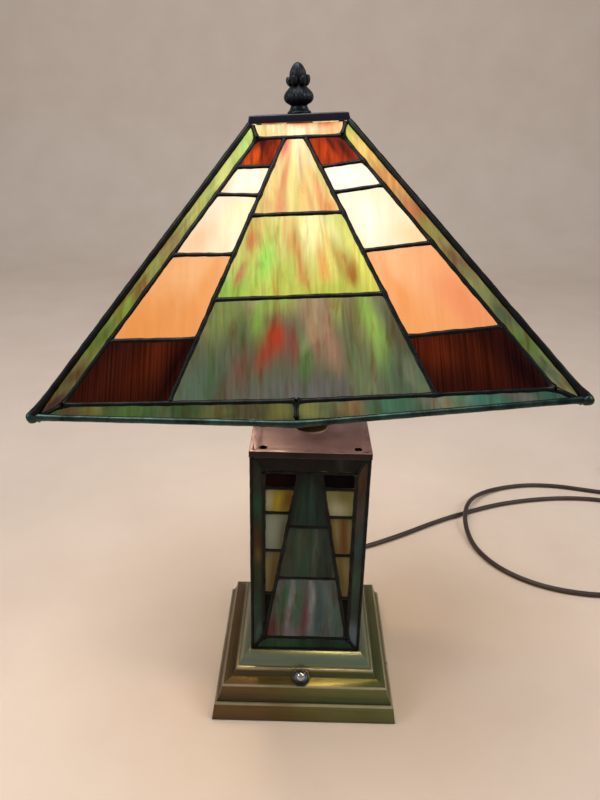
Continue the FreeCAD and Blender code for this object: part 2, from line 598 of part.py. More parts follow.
def rounded(points):
    """Edges of a route: straight runs with an arc at each point as large as its runs allow."""
    pts = [V(*p) for p in points]
    edges, start, radii = [], pts[0], []
    for a, p, b in zip(pts, pts[1:], pts[2:]):
        u, w = (a - p).normalize(), (b - p).normalize()
        turn = math.pi - u.getAngle(w)
        short = min((a - p).Length, (b - p).Length)
        r = 0.45 * short / math.tan(turn / 2)
        t = 0.45 * short
        radii.append(r)
        t0, t1 = p + u * t, p + w * t
        middle = p + (u + w).normalize() * (r / math.cos(turn / 2) - r)
        edges.append(Part.LineSegment(start, t0).toShape())
        edges.append(Part.Arc(t0, middle, t1).toShape())
        start = t1
    edges.append(Part.LineSegment(start, pts[-1]).toShape())
    return edges, radii


edges, radii = rounded(ROUTE)
path = Part.Wire(edges)
first = V(*ROUTE[1]) - V(*ROUTE[0])
section = Part.Wire(Part.makeCircle(CORD_R, V(*ROUTE[0]), first))
tube = path.makePipeShell([section], True, False)
tube_length = path.Length
print("cord radii", " ".join("%.0f" % r for r in radii))
print("cord tube %.0f mm, volume ratio %.4f" % (tube_length,
      tube.Volume / (math.pi * CORD_R ** 2 * tube_length)))
save(tube, "cord")
turns = (CORD_LENGTH - tube_length) / (2 * math.pi * COIL_RADIUS)
print("cord left for the coil %.0f mm, %.2f turns" % (CORD_LENGTH - tube_length, turns))
cx, cy = COIL_CENTRE
coil = ring(COIL_RADIUS + 2 * CORD_R, COIL_RADIUS - 2 * CORD_R, 0.05, 4 * CORD_R + 0.2)
coil.translate(V(cx, cy, 0))
save(coil, "cord_coil")

# plug beside the coil, its cord end towards the coil
px, py = cx - 26.0, cy + COIL_RADIUS
body = block(px - PLUG_LEN, px, py - PLUG_W / 2, py + PLUG_W / 2, 0.1, PLUG_H)
body = body.makeFillet(2.5, [e for e in body.Edges if abs(e.tangentAt(e.FirstParameter).x) > 0.9])
save(body.cut(coil), "plug_body")
blades = [block(px - PLUG_LEN - 16, px - PLUG_LEN, py + s * 6.35 - 0.75, py + s * 6.35 + 0.75,
                PLUG_H / 2 - 3.2, PLUG_H / 2 + 3.2) for s in (-1, 1)]
save(Part.makeCompound(blades), "plug_blades")
print(count, "nodes")
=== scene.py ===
"""Stained glass table lamp: looks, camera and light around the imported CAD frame. Metres."""
import bpy
import bmesh
import json
from itertools import combinations, product
from math import atan2, copysign, cos, exp, pi, radians, sin
from mathutils import Matrix, Vector, noise


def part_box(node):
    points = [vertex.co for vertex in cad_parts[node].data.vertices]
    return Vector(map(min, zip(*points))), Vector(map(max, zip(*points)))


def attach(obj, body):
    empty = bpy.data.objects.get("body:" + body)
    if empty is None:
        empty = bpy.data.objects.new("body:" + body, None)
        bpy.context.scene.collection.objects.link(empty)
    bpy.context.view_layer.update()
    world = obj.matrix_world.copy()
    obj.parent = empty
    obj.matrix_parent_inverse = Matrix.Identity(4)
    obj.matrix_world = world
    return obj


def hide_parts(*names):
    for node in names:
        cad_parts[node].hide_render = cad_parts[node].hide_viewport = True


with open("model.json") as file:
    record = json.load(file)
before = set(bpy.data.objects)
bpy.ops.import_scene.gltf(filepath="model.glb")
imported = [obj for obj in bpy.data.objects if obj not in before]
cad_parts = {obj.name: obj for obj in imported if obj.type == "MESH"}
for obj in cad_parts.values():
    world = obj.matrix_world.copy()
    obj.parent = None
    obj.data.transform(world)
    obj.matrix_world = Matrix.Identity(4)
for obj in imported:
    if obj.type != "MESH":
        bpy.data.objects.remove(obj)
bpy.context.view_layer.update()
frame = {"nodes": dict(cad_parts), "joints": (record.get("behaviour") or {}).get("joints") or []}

scene = bpy.context.scene
NODES = frame["nodes"]
SHADE_UP = Vector(next(j["axis"] for j in frame["joints"] if j["name"] == "shade_lift")).normalized()
UP = Vector((0, 0, 1))
MM = 0.001
TOP_PLATE_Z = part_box("tower_top_plate")[1].z
FOOT = Vector((0, 0, TOP_PLATE_Z))      # where the upper assembly's axis meets the top plate
# Strength of the room's light, the bulbs and the shade's glass, and how far round a bulb glass is brighter.
ROOM_LIGHT, BULB_LIGHT, GLASS_GLOW = 0.36, 36.0, 0.95
GLOW_REACH = 0.085


# ---- node graphs
class Graph:
    """Short calls for building one material's nodes. A value may be a number, a colour or a socket."""

    def __init__(self, name):
        self.mat = bpy.data.materials.new(name)
        self.mat.use_nodes = True
        self.tree = self.mat.node_tree
        self.shader = self.tree.nodes["Principled BSDF"]

    def put(self, socket, value):
        if isinstance(value, bpy.types.NodeSocket):
            self.tree.links.new(value, socket)
        elif hasattr(value, "__len__") and len(value) == 3 and len(socket.default_value) == 4:
            socket.default_value = (*value, 1)
        else:
            socket.default_value = value

    def add(self, kind, out=0, props=(), **inputs):
        n = self.tree.nodes.new("ShaderNode" + kind)
        for key, value in dict(props).items():
            setattr(n, key, value)
        for key, value in inputs.items():
            self.put(n.inputs[int(key[1:]) if key[0] == "i" else key.replace("_", " ")], value)
        return n.outputs[out]

    def calc(self, operation, a, b):
        return self.add("Math", props={"operation": operation}, i0=a, i1=b)

    def mix(self, factor, a, b, blend="MIX"):
        n = self.tree.nodes.new("ShaderNodeMix")
        n.data_type, n.blend_type = "RGBA", blend
        self.put(n.inputs[0], factor)
        self.put(n.inputs[6], a)
        self.put(n.inputs[7], b)
        return n.outputs[2]

    def ramp(self, factor, *stops):
        n = self.tree.nodes.new("ShaderNodeValToRGB")
        self.put(n.inputs[0], factor)
        e = n.color_ramp.elements
        while len(e) < len(stops):
            e.new(0.5)
        for item, (place, colour) in zip(e, stops):
            item.position = place
            item.color = (*colour, 1) if hasattr(colour, "__len__") else (colour,) * 3 + (1,)
        return n.outputs[0]

    def object(self):
        return self.add("TexCoord", out=3)

    def attribute(self, name, out):
        return self.add("Attribute", out=out, props={"attribute_name": name})

    def place_along(self, vector, axis):
        return self.add("SeparateXYZ", out=axis, Vector=vector)

    def tint(self, colour, factor, by):
        """A colour multiplied by another, as far as the factor says."""
        return self.mix(factor, colour, by, "MULTIPLY")

    def noise(self, vector, scale, detail=3.0, roughness=0.55, distortion=0.0):
        return self.add("TexNoise", Vector=vector, Scale=scale, Detail=detail, Roughness=roughness,
                        Distortion=distortion)

    def pulled(self, vector, stretch, detail, roughness=0.55, distortion=0.0, shift=(0, 0, 0)):
        """Noise that is finer along one direction than another."""
        place = self.add("Mapping", Vector=vector, Scale=stretch, Location=shift)
        return self.noise(place, 1.0, detail, roughness, distortion)

    def bump(self, height, strength, distance):
        return self.add("Bump", Height=height, Strength=strength, Distance=distance)

    def set(self, **values):
        for key, value in values.items():
            self.put(self.shader.inputs[key.replace("_", " ")], value)
        return self.mat


def C(text):
    """A linear colour from a screen colour such as "a08040"."""
    parts = [int(text[i:i + 2], 16) / 255 for i in (0, 2, 4)]
    return tuple(c / 12.92 if c <= 0.04045 else ((c + 0.055) / 1.055) ** 2.4 for c in parts)


# ---- mesh helpers
def new_object(name, data, mats=()):
    ob = bpy.data.objects.new(name, data)
    scene.collection.objects.link(ob)
    for m in mats:
        data.materials.append(m)
    return ob


def new_mesh(name, verts, faces):
    mesh = bpy.data.meshes.new(name)
    mesh.from_pydata(verts, [], faces)
    return mesh


def smooth(ob, angle):
    for p in ob.data.polygons:
        p.use_smooth = True
    ob.data.set_sharp_from_angle(angle=radians(angle))


def clean(mesh, gap, flat=0.0):
    """Join vertices within a gap, and faces that lie within an angle of one plane."""
    bm = bmesh.new()
    bm.from_mesh(mesh)
    bmesh.ops.remove_doubles(bm, verts=bm.verts, dist=gap)
    if flat:
        bmesh.ops.dissolve_limit(bm, angle_limit=flat, verts=bm.verts, edges=bm.edges)
    bm.to_mesh(mesh)
    bm.free()


def angles(count):
    return [2 * pi * k / count for k in range(count)]


def turned(angle, axis):
    return Matrix.Rotation(angle, 4, axis)


def finish_piece(ob, body, slot, *nodes):
    """Ride a finished piece on its body and hide the nodes it stands for. Its slot is not used."""
    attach(ob, body)
    if nodes:
        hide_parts(*nodes)
    return ob


def dress(names, mat):
    """Give CAD nodes a material."""
    for name in names:
        slots = NODES[name].data.materials
        slots.clear()
        slots.append(mat)


# ---- meshes built from rings
class Build:
    """Collects vertices and faces for one mesh."""

    def __init__(self):
        self.verts, self.faces = [], []

    def loft(self, rings):
        """Join rings of equal length, each a closed loop, and close the ends with a face."""
        start, n = len(self.verts), len(rings[0])
        for r in rings:
            self.verts += [tuple(p) for p in r]
        for i in range(len(rings) - 1):
            a, b = start + i * n, start + (i + 1) * n
            self.faces += [(a + j, a + (j + 1) % n, b + (j + 1) % n, b + j) for j in range(n)]
        last = start + (len(rings) - 1) * n
        self.faces += [tuple(range(start + n - 1, start - 1, -1)), tuple(range(last, last + n))]

    def lathe(self, base, profile, sides, shape=lambda r, h, a: (r, h)):
        """Turn (radius, height) points about a base matrix's Z. shape(radius, height, angle) varies them."""
        rings = []
        for r, h in profile:
            shaped = [(a, *shape(r, h, a)) for a in angles(sides)]
            rings.append([base @ Vector((rr * cos(a), rr * sin(a), hh)) for a, rr, hh in shaped])
        self.loft(rings)

    def bead(self, points, normal, wide, deep, seed, rough=0.09, knots=(), swell=(0.12, 2.4 * MM),
             step=2.2 * MM, sides=10):
        """An uneven run of solder: an oval bar along points, round at its ends and swollen at its knots."""
        path = resample(points, step)
        rings = []
        for i, p in enumerate(path):
            along = (path[min(i + 1, len(path) - 1)] - path[max(i - 1, 0)]).normalized()
            side = normal.cross(along).normalized()
            out = along.cross(side)
            grow = 1 + rough * noise.noise(p * 160 + Vector((seed, 0, 0)))
            grow += 0.5 * rough * noise.noise(p * 520 + Vector((0, seed, 0)))
            grow += sum(swell[0] * exp(-((p - k).length / swell[1]) ** 2) for k in knots)
            p = p + side * (0.12 * wide * noise.noise(p * 90 + Vector((0, 0, seed))))
            rings.append([p + side * (wide * grow * cos(a)) + out * (deep * grow * sin(a))
                          for a in angles(sides)])
        for end, nxt in ((0, 1), (-1, -2)):
            middle = middle_of(rings[end])
            cap = [middle.lerp(q, 0.55) for q in rings[end]]
            inward = (middle_of(rings[nxt]) - middle).normalized() * wide * 0.45
            rings[end] = [q + inward for q in rings[end]]
            rings = [cap] + rings if end == 0 else rings + [cap]
        self.loft(rings)

    def piece(self, name, mat, angle, body, slot, *nodes):
        """The collected mesh as one finished piece."""
        ob = new_object(name, new_mesh(name, self.verts, self.faces), [mat])
        smooth(ob, angle)
        return finish_piece(ob, body, slot, *nodes)


def resample(points, step):
    """Points about a step apart along a polyline, its corners kept."""
    out = [points[0]]
    for a, b in zip(points, points[1:]):
        n = max(1, round((b - a).length / step))
        out += [a.lerp(b, i / n) for i in range(1, n + 1)]
    return out


def loose_parts(node):
    """The separate solids of a node, each as its list of points, in a settled order."""
    bm = bmesh.new()
    bm.from_mesh(NODES[node].data)
    bmesh.ops.remove_doubles(bm, verts=bm.verts, dist=1e-6)
    bm.verts.ensure_lookup_table()
    seen, parts = [False] * len(bm.verts), []
    for first in bm.verts:
        if seen[first.index]:
            continue
        seen[first.index], stack, part = True, [first], []
        while stack:
            v = stack.pop()
            part.append(v.co.copy())
            for e in v.link_edges:
                w = e.other_vert(v)
                if not seen[w.index]:
                    seen[w.index] = True
                    stack.append(w)
        parts.append(part)
    bm.free()
    return parts


def middle_of(points):
    return sum(points, Vector()) / len(points)


def outline(points):
    """Corners of the convex outline of flat points, counter-clockwise."""
    pts = sorted({(round(u, 6), round(v, 6)) for u, v in points})

    def half(run):
        out = []
        for p in run:
            while len(out) > 1 and ((out[-1][0] - out[-2][0]) * (p[1] - out[-2][1])
                                    - (out[-1][1] - out[-2][1]) * (p[0] - out[-2][0])) <= 2e-8:
                out.pop()
            out.append(p)
        return out[:-1]

    return [Vector(p) for p in half(pts) + half(pts[::-1])]


# ---- leaded panels
SEAM_HALF, SEAM_WIDE, SEAM_PROUD = 1.3 * MM, 2.0 * MM, 0.62 * MM
HIP_BEAD, RIM_BEAD, CORNER_BEAD, LUMP_R = 2.05 * MM, 1.95 * MM, 1.3 * MM, 3.5 * MM
HIP_REACH, END_REACH = 1.6 * MM, 3 * MM     # how far a hip seam passes its CAD bead, and that bead's end
RIM_REACH = 12 * MM                         # from the line between two lumps to the rim between them
CORNER_PLACE, CORNER_LIFT = 44.9 * MM, 1.5 * MM     # the tower's corner seams: off its middle, and upwards
UNDER_SEAM, UNDER_BEAD = 0.9 * MM, 0.8 * MM         # how far the glass goes under its solder
TOUCH, BELOW_TOP, FACE_DEPTH = 1 * MM, 0.4 * MM, 0.1 * MM
FOOT_STRIP = 12 * MM                        # the part of a panel where it is as wide as at its foot
MEET_REACH, NEAR_END = 7 * MM, 4 * MM       # how far a seam is drawn on to the next, and seams that meet
JOIN_ACROSS, JOIN_ALONG = 1.1 * MM, 5 * MM  # edges this close, and this nearly level, are one seam
NEARLY_LEVEL = 0.03                         # sine of the angle between them
COLUMN_HALF, STRIP_TOP, STRIP_FOOT, STRIP_JOINT = 8 * MM, 20 * MM, 6 * MM, 5 * MM
TILE_STEP, RIPPLE, RIPPLE_IN = 3.0 * MM, 0.10 * MM, 0.12 * MM
SPOT_SHIFT = 0.06                           # how far the paint's spots move on the sides other than the front


class Panel:
    """A flat leaded panel: outward normal n, sideways u and up v, and its tiles."""

    def __init__(self, came, glass, up):
        data = NODES[glass].data
        low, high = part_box(came)
        self.middle = (low + high) / 2
        self.n = max(data.polygons, key=lambda p: p.area).normal.copy().normalized()
        axis_point = FOOT + up * (self.middle - FOOT).dot(up)
        if self.n.dot(self.middle - axis_point) < 0:
            self.n.negate()
        self.v = (up - self.n * up.dot(self.n)).normalized()
        self.u = self.v.cross(self.n)
        self.middle -= self.u * (self.middle - FOOT).dot(self.u)
        rows = sorted((self.flat(v.co)[:2] for v in NODES[came].data.vertices), key=lambda q: q[1])
        self.top = rows[-1][1]
        self.low_half = max(abs(u) for u, v in rows if v < rows[0][1] + FOOT_STRIP)
        self.top_half = max(abs(u) for u, v in rows if v > self.top - TOUCH)
        self.foot = min(v for u, v in rows if abs(u) > self.low_half - TOUCH)

    def tuck(self, c):
        """Move a tile's corner beside the outline out under the bead there, and keep it below the top."""
        edge = self.low_half + (self.top_half - self.low_half) * (c.y - self.foot) / (self.top - self.foot)
        if edge - abs(c.x) < TOUCH:
            c.x = copysign(edge + UNDER_BEAD, c.x)
        c.y = min(c.y, self.top - BELOW_TOP)
        return c

    def flat(self, p):
        d = p - self.middle
        return d.dot(self.u), d.dot(self.v), d.dot(self.n)

    def place(self, u, v, d):
        return self.middle + self.u * u + self.v * v + self.n * d

    def read(self, nodes):
        """Tiles of the given glass nodes: corners low left, low right, high right, high left."""
        tiles = []
        for part in (part for node in nodes for part in loose_parts(node)):
            pts = [self.flat(p) for p in part]
            face, back = max(p[2] for p in pts), min(p[2] for p in pts)
            hull = outline([p[:2] for p in pts if p[2] > face - FACE_DEPTH])
            corners = [self.tuck(c) for c in grown(four_corners(hull), UNDER_SEAM)]
            by_height = sorted(corners, key=lambda c: c.y)
            low = sorted(by_height[:2], key=lambda c: c.x)
            high = sorted(by_height[-2:], key=lambda c: c.x)
            tiles.append({"corners": low + high[::-1], "hull": hull, "face": face, "back": back,
                          "centre": sum(hull, Vector((0, 0))) / len(hull)})
        return tiles


def four_corners(hull):
    """The outline as four corners: nearly straight ones dropped, or a triangle's tip doubled."""
    pts = list(hull)
    while len(pts) > 4:
        n = len(pts)
        turns = [(pts[i] - pts[i - 1]).angle(pts[(i + 1) % n] - pts[i]) for i in range(n)]
        del pts[turns.index(min(turns))]
    if len(pts) == 3:
        tip = min(pts, key=lambda p: p.y)
        pts.insert(pts.index(tip), tip.copy())
    return pts


def grown(corners, by):
    """An outline pushed out a little, so that the glass ends under the solder."""
    n, out = len(corners), []
    for i, p in enumerate(corners):
        before = next(corners[(i - k) % n] for k in (1, 2) if (corners[(i - k) % n] - p).length > 1e-6)
        after = next(corners[(i + k) % n] for k in (1, 2) if (corners[(i + k) % n] - p).length > 1e-6)
        a, b = (p - before).normalized(), (after - p).normalized()
        push = Vector((a.y + b.y, -a.x - b.x)) / (1 + a.dot(b)) * by
        out.append(p + push * min(1.0, 2.4 * by / push.length))
    return out


def seam_lines(tiles):
    """Centre lines of the seams: every tile's edges pushed out by half a seam, then joined."""
    lines = []
    for tile in tiles:
        hull = tile["hull"]
        for p, q in zip(hull, hull[1:] + hull[:1]):
            d = (q - p).normalized()
            out = Vector((d.y, -d.x)) * SEAM_HALF
            lines.append((p + out, q + out))
    found = True
    while found:
        found = next(((i, j, both) for i, j in combinations(range(len(lines)), 2)
                      if (both := join_lines(lines[i], lines[j]))), None)
        if found:
            i, j, lines[i] = found
            del lines[j]
    return lines


def meet(line, end, lines):
    """Where a seam's end should lie: on the nearest seam it runs towards, or a little further out."""
    p, q = (line[1], line[0]) if end == 0 else line
    d = (q - p).normalized()
    best = None
    for other in lines:
        e = other[1] - other[0]
        cross = d.cross(e)
        if other is line or abs(cross) < 0.1 * e.length:
            continue
        gap = other[0] - q
        along, across = gap.cross(e) / cross, gap.cross(d) / cross
        spare = MEET_REACH / e.length
        near = abs(along) < MEET_REACH and -spare < across < 1 + spare
        if near and (best is None or abs(along) < abs(best)):
            best = along
    return q + d * (SEAM_HALF if best is None else best)


def is_outline(line, tiles):
    """Whether all the tiles lie on one side of a seam."""
    return len({(t["centre"] - line[0]).cross(line[1] - line[0]) > 0 for t in tiles}) == 1


def join_lines(a, b):
    """One line for two that run together, or None."""
    d = (a[1] - a[0]).normalized()
    e = (b[1] - b[0]).normalized()
    if abs(d.cross(e)) > NEARLY_LEVEL:
        return None
    far = max((a, b), key=lambda s: (s[1] - s[0]).length)
    d = (far[1] - far[0]).normalized()
    offset = [(p - far[0]).cross(d) for p in a + b]
    if max(offset) - min(offset) > JOIN_ACROSS:
        return None
    ta, tb = [sorted((p - far[0]).dot(d) for p in s) for s in (a, b)]
    if ta[0] > tb[1] + JOIN_ALONG or tb[0] > ta[1] + JOIN_ALONG:
        return None
    mid = (max(offset) + min(offset)) / 2
    base = far[0] + Vector((d.y, -d.x)) * mid
    return base + d * min(ta[0], tb[0]), base + d * max(ta[1], tb[1])


# ---- camera, stage and light
def add_camera():
    """Where the viewer stands: a little over arm's length away, above the lamp's top plate."""
    data = bpy.data.cameras.new("camera")
    data.sensor_width, data.lens = 36.0, 31.05
    cam = new_object("camera", data)
    heading, down, roll = radians(0.23), radians(22.87), radians(1.27)
    eye = Matrix.Translation((-0.0071, -0.5063, 0.475))
    cam.matrix_world = eye @ turned(heading, "Z") @ turned(pi / 2 - down, "X") @ turned(roll, "Z")
    scene.camera = cam


def add_stage():
    g = Graph("pale_floor")
    grain = g.noise(g.object(), 9.0, 4.0)
    g.set(Base_Color=g.ramp(grain, (0.3, C("d4c3b5")), (0.7, C("dacabd"))), Roughness=0.55)
    half, back, high, bend, steps = 3.0, 1.6, 2.5, 0.5, 12
    line = [(-half, 0.0)]
    for i in range(steps + 1):
        a = pi / 2 * i / steps
        line.append((back + bend * sin(a), bend - bend * cos(a)))
    line.append((back + bend, high))
    verts = [(x, y, z) for y, z in line for x in (-half, half)]
    faces = [(2 * i, 2 * i + 1, 2 * i + 3, 2 * i + 2) for i in range(len(line) - 1)]
    floor = new_object("floor", new_mesh("floor", verts, faces), [g.mat])
    smooth(floor, 35)


def area_light(name, place, size, power, colour, aim=(0, 0, 0.25)):
    data = bpy.data.lights.new(name, "AREA")
    data.shape, data.size, data.energy, data.color = "DISK", size, power, colour
    ob = new_object(name, data)
    ob.location = place
    ob.rotation_euler = (Vector(aim) - Vector(place)).to_track_quat("-Z", "Y").to_euler()


def add_lights():
    world = bpy.data.worlds.new("room")
    world.use_nodes = True
    background = world.node_tree.nodes["Background"]
    background.inputs["Color"].default_value = (0.93, 0.96, 1.0, 1)
    background.inputs["Strength"].default_value = ROOM_LIGHT
    scene.world = world
    area_light("overhead", (-0.3, -0.1, 1.9), 1.3, 19, (1.0, 0.97, 0.93))
    area_light("left_soft", (-1.5, -0.7, 1.3), 0.8, 9, (0.97, 0.98, 1.0))
    area_light("right_soft", (1.4, -0.5, 1.4), 0.8, 9, (1.0, 0.98, 0.95))


# ---- supply cord
CORD_R = 2.75 * MM
FLOOR = CORD_R + 0.05 * MM
HUMP = 10.6 * MM
EXIT = (0.0, 0.1065, 0.009)
RELIEF_START = EXIT[1] - 0.031
PLUG_RUN = 0.010                        # straight cord before the plug
# The cord's route behind and beside the lamp. A point with no height lies on the floor.
ROUTE = [
    EXIT, (0, 0.122, 0.009), (0.010, 0.146, 0.0045), (0.033, 0.161), (0.071, 0.174), (0.120, 0.203),
    (0.163, 0.232), (0.205, 0.255), (0.250, 0.277), (0.302, 0.292), (0.354, 0.299), (0.404, 0.294),
    (0.444, 0.268), (0.464, 0.228), (0.461, 0.182), (0.436, 0.140), (0.396, 0.110), (0.350, 0.096),
    (0.303, 0.096), (0.257, 0.108), (0.221, 0.135), (0.201, 0.172), (0.196, 0.205, 0.006),
    (0.199, 0.238, HUMP), (0.211, 0.270, HUMP), (0.232, 0.298, 0.006), (0.262, 0.319), (0.303, 0.331),
    (0.346, 0.330), (0.384, 0.320), (0.420, 0.311), (0.455, 0.309), (0.482, 0.311)]
COIL_TURNS, POINTS_A_TURN = 2.5, 16


def ease(f):
    """0 to 1 with soft ends."""
    f = min(1.0, max(0.0, f))
    return f * f * (3 - 2 * f)


def coil_ring():
    """The put-away coil's centre, and the radius at the middle of its turns."""
    low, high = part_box("cord_coil")
    return (low + high) / 2, (high.x - low.x) / 2 - 2 * CORD_R


def coil_points():
    """Turns of the put-away length: an outer one, an inner one and one on top, ending towards the plug."""
    centre, middle = coil_ring()
    pts = []
    for i in range(int(COIL_TURNS * POINTS_A_TURN) + 1):
        turn = i / POINTS_A_TURN
        inner, top = ease((turn - 0.6) / 0.4), ease((turn - 1.55) / 0.4)
        r = middle + CORD_R * (0.98 - 2.02 * inner + 1.1 * top)
        a = 2 * pi * turn - pi / 2
        pts.append((centre.x + r * cos(a), centre.y + r * sin(a), FLOOR + 1.78 * CORD_R * top))
    return pts


def add_cord(mat):
    low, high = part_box("plug_body")
    entry = (high.x, (low.y + high.y) / 2, (low.z + high.z) / 2)
    route = [p if len(p) == 3 else (*p, FLOOR) for p in ROUTE]
    points = route + coil_points()[1:] + [(entry[0] + PLUG_RUN, *entry[1:]), entry]
    data = bpy.data.curves.new("supply_cord", "CURVE")
    data.dimensions, data.bevel_depth, data.bevel_resolution, data.resolution_u = "3D", CORD_R, 5, 8
    data.use_fill_caps = True
    spline = data.splines.new("NURBS")
    spline.points.add(len(points) - 1)
    for p, q in zip(spline.points, points):
        p.co = (*q, 1)
    spline.order_u = 3
    spline.use_endpoint_u = True
    ob = new_object("supply_cord", data, [mat])
    finish_piece(ob, "base", "cord_jacket", "cord", "cord_coil")


def cord_jacket():
    g = Graph("cord_jacket")
    fine = g.noise(g.object(), 420.0, 2.0)
    dirt = g.noise(g.object(), 35.0, 3.0)
    return g.set(Base_Color=g.ramp(dirt, (0.35, C("2a1c18")), (0.7, C("3b2a24"))), Roughness=0.42,
                 Normal=g.bump(fine, 0.15, 0.0003))


# ---- art glass
# A tile's paint: its finish, its ground colour, and soft spots of pulled colour over it, each
# (across, up, half width, half height, colour) in percent of the tile's width and height.
# The shade's paint also holds painted light of the bulbs: its tiles are painted paler and brighter towards
# the top and dimmer towards the bottom.
SHADE_PAINT_AND_GLOW = {
    "centre_low": ("streaky", "5a5a44", [
        (45, 100, 40, 16, "9a8e5e"), (38, 98, 8, 14, "93a84c"), (10, 90, 10, 30, "768244"),
        (37, 58, 4.5, 16, "a8381e"), (33.5, 44, 2.5, 14, "8c3c28"), (25, 25, 3, 20, "783c34"),
        (30, 80, 3, 20, "7c9a40"), (46, 52, 3, 18, "80403a"), (50, 42, 2.5, 25, "587e4c"),
        (56, 75, 5, 35, "96765c"), (64, 60, 4, 45, "927058"), (70, 90, 4, 20, "8c9250"),
        (80, 70, 4, 30, "7a6c48"), (87, 65, 4.5, 50, "8aa84a"), (12, 10, 14, 30, "50604c"),
        (55, 5, 30, 14, "5e5c56"), (93, 12, 10, 35, "4c5a46"), (75, 25, 5, 35, "66704c")]),
    "centre_mid": ("streaky", "c6c45c", [
        (64, 82, 22, 32, "fbf3aa"), (40, 95, 14, 18, "e6d47c"), (27, 45, 7, 26, "9cd852"),
        (8, 12, 12, 22, "86b83c"), (10, 28, 3, 14, "ba6c42"), (10, 72, 5, 16, "cf8a4a"),
        (16, 90, 6, 12, "d8c064"), (46, 62, 3.5, 30, "cd9448"), (50, 35, 3, 28, "c8843c"),
        (54, 15, 3, 18, "c08a40"), (40, 25, 6, 25, "b6c452"), (66, 35, 3, 30, "da9a4a"),
        (73, 50, 3, 30, "e6d470"), (86, 24, 5, 20, "9c8236"), (80, 45, 3, 25, "c09a44"),
        (95, 40, 5, 50, "dcd860"), (60, 5, 30, 8, "b4ba48")]),
    "centre_high": ("streaky", "f0cd7c", [
        (60, 84, 28, 30, "fff8c8"), (10, 98, 16, 16, "ee7a68"), (17, 84, 7, 12, "e8826c"),
        (30, 50, 6, 42, "e3965a"), (45, 42, 6, 50, "f8e68c"), (64, 38, 4, 40, "dc924e"),
        (73, 55, 6, 30, "f6da84"), (83, 30, 6, 30, "e89860"), (53, 20, 4, 25, "f2c470"),
        (12, 10, 12, 14, "e0b468"), (30, 8, 6, 14, "dc8450"), (88, 8, 8, 12, "e0944f")]),
    "left0": ("reeded", "2c0e06", [
        (60, 70, 22, 50, "48190a"), (25, 50, 12, 60, "38140c"), (90, 50, 6, 70, "1c0706")]),
    "left1": ("opal", "ed9f5c", [
        (55, 85, 50, 40, "f4b476"), (30, 15, 30, 30, "ea9852"), (80, 55, 12, 50, "ee9f58")]),
    "left2": ("opal", "fbe6c8", [(75, 60, 35, 50, "fff6c8"), (20, 15, 35, 35, "f6cfa4")]),
    "left3": ("opal", "fff3d0", [(55, 50, 40, 40, "fffbe8"), (5, 20, 20, 40, "fbd9b0")]),
    "left4": ("red", "bc3a0c", [
        (30, 30, 25, 40, "d2500f"), (62, 60, 6, 60, "4a1004"), (85, 40, 10, 60, "982a08"),
        (15, 90, 20, 25, "7c2208")]),
    "right0": ("reeded", "2a0d08", [
        (20, 75, 25, 35, "4c1a0a"), (55, 60, 12, 50, "3c1408"), (90, 30, 10, 50, "1a0708")]),
    "right1": ("opal", "eea264", [
        (40, 80, 50, 40, "f6b884"), (80, 30, 25, 40, "ea9262"), (15, 40, 10, 40, "f0a060")]),
    "right2": ("opal", "fdeac4", [(30, 60, 40, 50, "fffbe2"), (90, 10, 30, 30, "f9d8a4")]),
    "right3": ("opal", "fff4da", [(50, 50, 45, 45, "fffdf0")]),
    "right4": ("red", "a8330c", [
        (30, 50, 22, 45, "cc440c"), (80, 55, 14, 60, "5c1506"), (55, 70, 5, 40, "6c1a06")]),
    "border_top": ("streaky", "f7e6a4", [
        (45, 30, 25, 60, "fff6c8"), (85, 50, 16, 70, "f8bb7c"), (78, 95, 14, 22, "d9552a"),
        (52, 98, 10, 20, "e0743c"), (10, 40, 10, 60, "f3da86")]),
    "border_left": ("streaky", "7f8440", [
        (50, 97, 80, 7, "b8dc6e"), (50, 85, 80, 8, "d2d472"), (50, 72, 60, 6, "b8b45a"),
        (50, 58, 50, 4, "8a6a30"), (40, 50, 50, 5, "8c8c3c"), (60, 41, 50, 3.5, "7a4820"),
        (50, 34, 60, 4, "82963c"), (50, 24, 60, 6, "5c6c2c"), (50, 12, 70, 6, "564628"),
        (50, 2, 70, 5, "44302a")]),
    "border_right": ("streaky", "7e7844", [
        (30, 99, 50, 4, "96c83a"), (50, 90, 80, 8, "ecc45c"), (50, 77, 80, 7, "d2984c"),
        (40, 66, 60, 5, "b87046"), (50, 57, 60, 5, "8e8440"), (50, 47, 50, 5, "72563e"),
        (50, 37, 60, 5, "666c3c"), (50, 26, 60, 5, "4e5a42"), (50, 16, 60, 5, "56743a"),
        (50, 5, 60, 6, "3a4c36")]),
    "border_low_a": ("streaky", "3c4c2c", [
        (8, 50, 6, 80, "54402c"), (16, 50, 5, 80, "66602e"), (32, 50, 8, 80, "48602c"),
        (50, 50, 7, 80, "3c4e30"), (66, 50, 6, 80, "5a5a34"), (80, 50, 7, 80, "4e4430"),
        (93, 50, 5, 80, "666234")]),
    "border_low_b": ("streaky", "3a5440", [
        (5, 50, 6, 80, "75723e"), (20, 50, 6, 80, "78603e"), (34, 50, 8, 80, "42664c"),
        (52, 50, 6, 80, "6a6c58"), (70, 50, 8, 80, "40685a"), (84, 50, 4, 80, "5e5c54"),
        (95, 50, 5, 80, "38564a")]),
}
